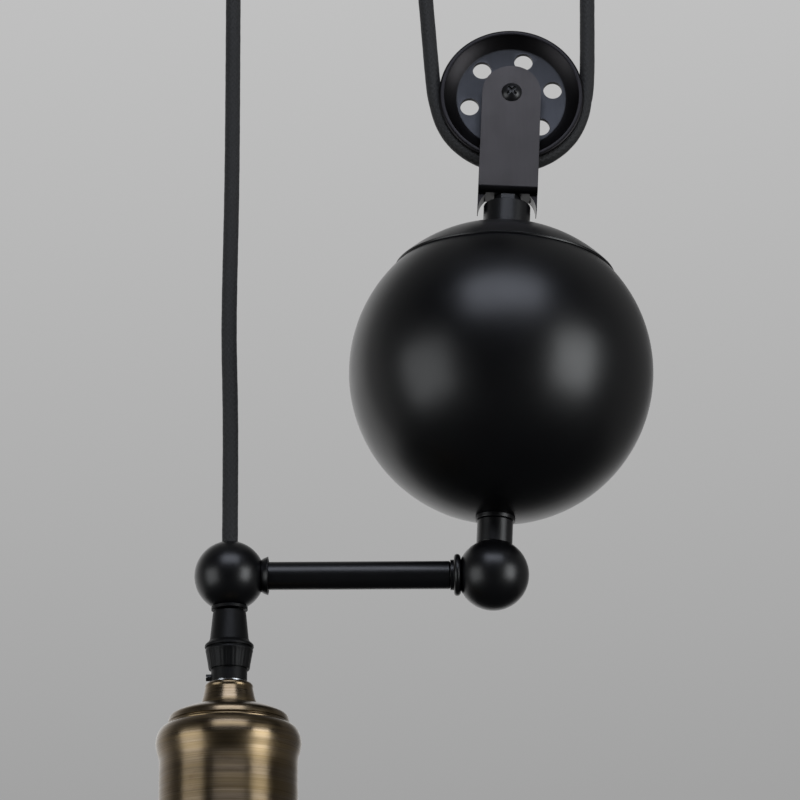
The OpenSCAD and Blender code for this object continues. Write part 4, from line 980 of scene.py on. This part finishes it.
upper = [(shoulder(i / 20), SHOULDER_Z + 5.6 * i / 20) for i in range(20, -1, -1)]
lower = [(hip(i / 12), SHOULDER_Z - 6.3 * i / 12) for i in range(1, 13)]
body_line = []
for height in (-53.6, -56.1, -60.7, -66.0, -70.5):
    body_line += turned_line(height)
ridge = ((THREAD_R, 0), (THREAD_R, 0.5), (19.7, 1.1), (19.7, 1.6), (THREAD_R, 2.2))
threads = []
for i in range(6):
    top = SKIRT_FOOT - 0.6 - i * 2.7
    threads += [(r, top - down) for r, down in ridge]
turned(
    "holder_skin",
    upper
    + lower
    + body_line
    + [(BODY_R, SKIRT_FOOT + 0.4), (21.2, SKIRT_FOOT), (19.7, SKIRT_FOOT)]
    + threads
    + [(THREAD_R, THREAD_FOOT + 0.3), (19.1, THREAD_FOOT), (18.6, THREAD_FOOT)]
    + [(18.6, -73.4), (20.8, -73.4)]
    + [(r - 0.8, z) for r, z in reversed(lower)]
    + [(r - 0.8, z) for r, z in reversed(upper)],
    LAMP,
    BRASS,
    "lamp",
    ("holder_shell",),
    0,
    steps=160,
    sharp=38,
)
collar_line = [(25.0, -74.9), (25.0, -80.5), (24.0, -81.2), (19.72, -81.2)]
collar = spun([(19.72, SKIRT_FOOT), (24.0, SKIRT_FOOT)] + collar_line, 192)
ribbed(collar, -80.9, -74.6, 48, 0.6)
piece_from(collar, "shade_collar", LAMP, BRASS, "lamp", ("shade_ring",), 0.1, sharp=50)

# Screw shell with its rolled thread, eight steps to a ridge
SHELL_TOP, SHELL_H, SHELL_STEPS = -64.7, 25.0, 56
shell_outer, shell_inner = [], []
for i in range(SHELL_STEPS + 1):
    z = SHELL_TOP - i * SHELL_H / SHELL_STEPS
    wave = 0.28 * (0.5 - 0.5 * math.cos(math.tau * i / 8))
    shell_outer.append((13.86, z))
    shell_inner.append((13.3 + wave, z))
turned(
    "socket_thread",
    shell_outer + shell_inner[::-1],
    LAMP,
    YELLOW_BRASS,
    "lamp",
    ("screw_shell",),
    0,
    sharp=50,
)
eased("insulator", PORCELAIN, 0.4, "lamp", 3)
eased("lamp_terminals", YELLOW_BRASS, 0.2, "lamp")
eased("centre_contact", YELLOW_BRASS, 0.2, "contact")

# ----------------------------------------------------------------- canopy
edge_r, edge_z = CANOPY_R - CANOPY_EDGE, CANOPY_EDGE - CANOPY_H
canopy = turned(
    "canopy_skin",
    [(ROD_HOLE, -CANOPY_H), (edge_r, -CANOPY_H)]
    + arc(edge_r, edge_z, CANOPY_EDGE, -90, 0, 16)
    + [(CANOPY_R, -0.6), (74.6, -0.05), (74.0, -0.05), (73.8, -0.3)]
    + arc(edge_r, edge_z, CANOPY_EDGE - SHEET, 0, -90, 16)
    + [(ROD_HOLE, SHEET - CANOPY_H)],
    Matrix.Identity(4),
    BLACK,
    None,
    (),
    0,
    steps=192,
    sharp=40,
)
# The spin leaves a hole in the middle, which a plug of the same sheet closes
mid_sheet = SHEET / 2 - CANOPY_H
joined(canopy, "UNION", [rod(3.6, SHEET, at(0, 0, mid_sheet), 48)])
bored(
    canopy,
    [
        rod(ROD_HOLE, 6, at(TOP_X, 0, mid_sheet)),
        rod(5.05, 6, at(ANCHOR_X, 0, mid_sheet)),
        rod(2.15, 10, at(0, -CANOPY_R, -11) @ turn(90, "X")),
        rod(2.15, 10, at(0, CANOPY_R, -11) @ turn(90, "X")),
    ],
)
softened(canopy, 0.2, 2, 40)
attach(canopy, "ceiling")
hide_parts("canopy")
sleeve("canopy_neck", COLLAR_R, -CANOPY_H, -35.6, at(TOP_X, 0, 0), "ceiling", "top_collar")
anchor = spun(
    [
        (CORD_HOLE, -12.0),
        (7.0, -12.0),
        (7.0, -12.3),
        (7.5, -12.6),
        (7.5, -23.6),
        (7.1, -24.0),
        (NIPPLE_R, -24.0),
        (NIPPLE_R, -31.7),
        (CORD_HOLE, -31.7),
    ],
    192,
)
ribbed(anchor, -23.0, -13.0, 32, 0.28)
piece_from(anchor, "anchor_ribs", ANCHOR, PLASTIC, "ceiling", ("anchor_body",), 0.08, sharp=50)
eased("ceiling_bar", ZINC, 0.25, "ceiling")
eased("canopy_screws", SCREW, 0.25, "ceiling")
eased("terminal_block", BLOCK, 0.4, "ceiling")
eased("terminal_screws", ZINC, 0.1, "ceiling")
eased("ceiling_nuts", SCREW, 0.25, "ceiling")
eased("weight_nuts", SCREW, 0.25, "counterweight")
eased("stem_washer", ZINC, 0.15, "ceiling")

# Cord inside the canopy and inside the grip, and their wires
supply = [(0, -29), (0, -19), (0, -9), (0, 0), (0, 5)]
supply += [(-1.5, 9), (-5, 12), (-9.5, 12.5), (-13, 10.5)]
half = math.sqrt(0.5)
corners = [Vector((ANCHOR_X + p * half, -p * half, -22.8 + q)) for p, q in supply]
supply_route = []
for i in range(len(corners) - 1):
    # A smooth curve through the corners, its slope at each taken from its neighbours
    before, after = corners[max(i - 1, 0)], corners[min(i + 2, len(corners) - 1)]
    here, there = corners[i], corners[i + 1]
    square = 2 * before - 5 * here + 4 * there - after
    cube = 3 * here - before - 3 * there + after
    for t in (k / 8 for k in range(8)):
        supply_route.append(
            0.5 * (2 * here + (there - before) * t + square * t * t + cube * t * t * t)
        )
supply_route.append(corners[-1])
lay_cord(
    "supply_end",
    "supply_cord",
    supply_route,
    "ceiling",
    side_way=Vector((half, half, 0)),
)
repaint(CORD, "lamp_cord_end")
repaint(WIRE, "supply_cores", "lamp_cores")
repaint(ZINC, "top_stem", "top_spacers", "weight_spacers", "disc_sleeves")
repaint(ZINC, "tie_rod", "arm_stud", "nipple", "nipple_nut")
repaint(IRON, "middle_disc", "end_discs")
repaint(YELLOW_BRASS, "top_bush", "weight_bush")

# ------------------------------------------------------------ room and light
FLOOR_Z, FLOOR_HALF = -1.12, 1.3  # in metres
floor_paint, floor_tree, floor_shader = start_finish("pale_floor", roughness=0.9)
floor_ray = add(floor_tree, "LightPath"), "Is Camera Ray"
floor_tone = blend_colours(floor_tree, floor_ray, rgba(70, 70, 70), rgba(100, 100, 100))
into(floor_tree, floor_shader, "Base Color", floor_tone, 2)
floor_glow = math_node(floor_tree, "MULTIPLY", floor_ray, 0.2)
floor_shader.inputs["Emission Color"].default_value = (1, 1, 1, 1)
into(floor_tree, floor_shader, "Emission Strength", floor_glow, 0)
mesh = bmesh.new()
bmesh.ops.create_grid(mesh, x_segments=1, y_segments=1, size=FLOOR_HALF)
made = object_from(mesh, "floor", Matrix.Translation((0, 0, FLOOR_Z)))
made.data.materials.append(floor_paint)

world = bpy.data.worlds.new("studio")
scene.world = world
world.use_nodes = True
tree = world.node_tree
tree.nodes.clear()
way = add(tree, "TexCoord")
towards = add(tree, "SeparateXYZ", {"Vector": (way, "Generated")})
# The camera sees a grey wall that gets lighter between two heights, as sines of their angles
LOW_SINE, HIGH_SINE = 0.189, 0.486
rise = spread(tree, (towards, "Z"), LOW_SINE, HIGH_SINE, 0.0, 1.0)
wall = blend_colours(tree, (rise, "Result"), rgba(162, 162, 162), rgba(192, 192, 192))
seen = add(tree, "Background", {"Color": (wall, 2), "Strength": 1.0})
# Gloss shows a white backdrop, brightest behind on the left, and a dark studio in front
sideways = math_node(tree, "MULTIPLY_ADD", (towards, "X"), -0.42, (towards, "Y"))
behind = spread(tree, (sideways, 0), 0.55, 0.95, 0.0, 0.8)
beside = spread(tree, (towards, "Y"), -0.35, 0.15, 0.02, 0.22)
backdrop = math_node(tree, "ADD", (behind, "Result"), (beside, "Result"))
shine = add(tree, "Background", {"Color": (1.0, 1.0, 1.0, 1), "Strength": (backdrop, 0)})
fill = add(tree, "Background", {"Color": (0.96, 0.98, 1.0, 1), "Strength": 0.2})
ray = add(tree, "LightPath")
plain = math_node(tree, "MAXIMUM", (ray, "Is Camera Ray"), (ray, "Is Transmission Ray"))
unlit = add(tree, "MixShader", {0: (plain, 0), 1: (fill, 0), 2: (seen, 0)})
choice = add(tree, "MixShader", {0: (ray, "Is Glossy Ray"), 1: (unlit, 0), 2: (shine, 0)})
add(tree, "OutputWorld", {"Surface": (choice, 0)})


LIT = Vector((WEIGHT_X, 0, WEIGHT_Z - 90)) * MM  # what the lamps face, in the ball


def softbox(name, direction, distance, width, height, watts, colour=(0.95, 0.98, 1.0)):
    """A rectangular lamp facing the ball, its sizes in metres."""
    lamp = bpy.data.lights.new(name, "AREA")
    lamp.shape = "RECTANGLE"
    lamp.size, lamp.size_y = width, height
    lamp.energy = watts
    lamp.color = colour
    holder = bpy.data.objects.new(name, lamp)
    scene.collection.objects.link(holder)
    way_out = Vector(direction).normalized()
    holder.location = LIT + way_out * distance
    holder.rotation_euler = way_out.to_track_quat("Z", "Y").to_euler()


softbox("top_box", (0.03, -0.74, 0.67), 1.5, 1.35, 0.75, 18.5, (0.82, 0.87, 1.0))
softbox("left_box", (-0.85, -0.51, -0.2), 1.4, 0.9, 1.05, 11)
softbox("right_box", (0.80, -0.58, -0.09), 1.4, 0.72, 0.9, 16)

scene.view_settings.view_transform = "Standard"
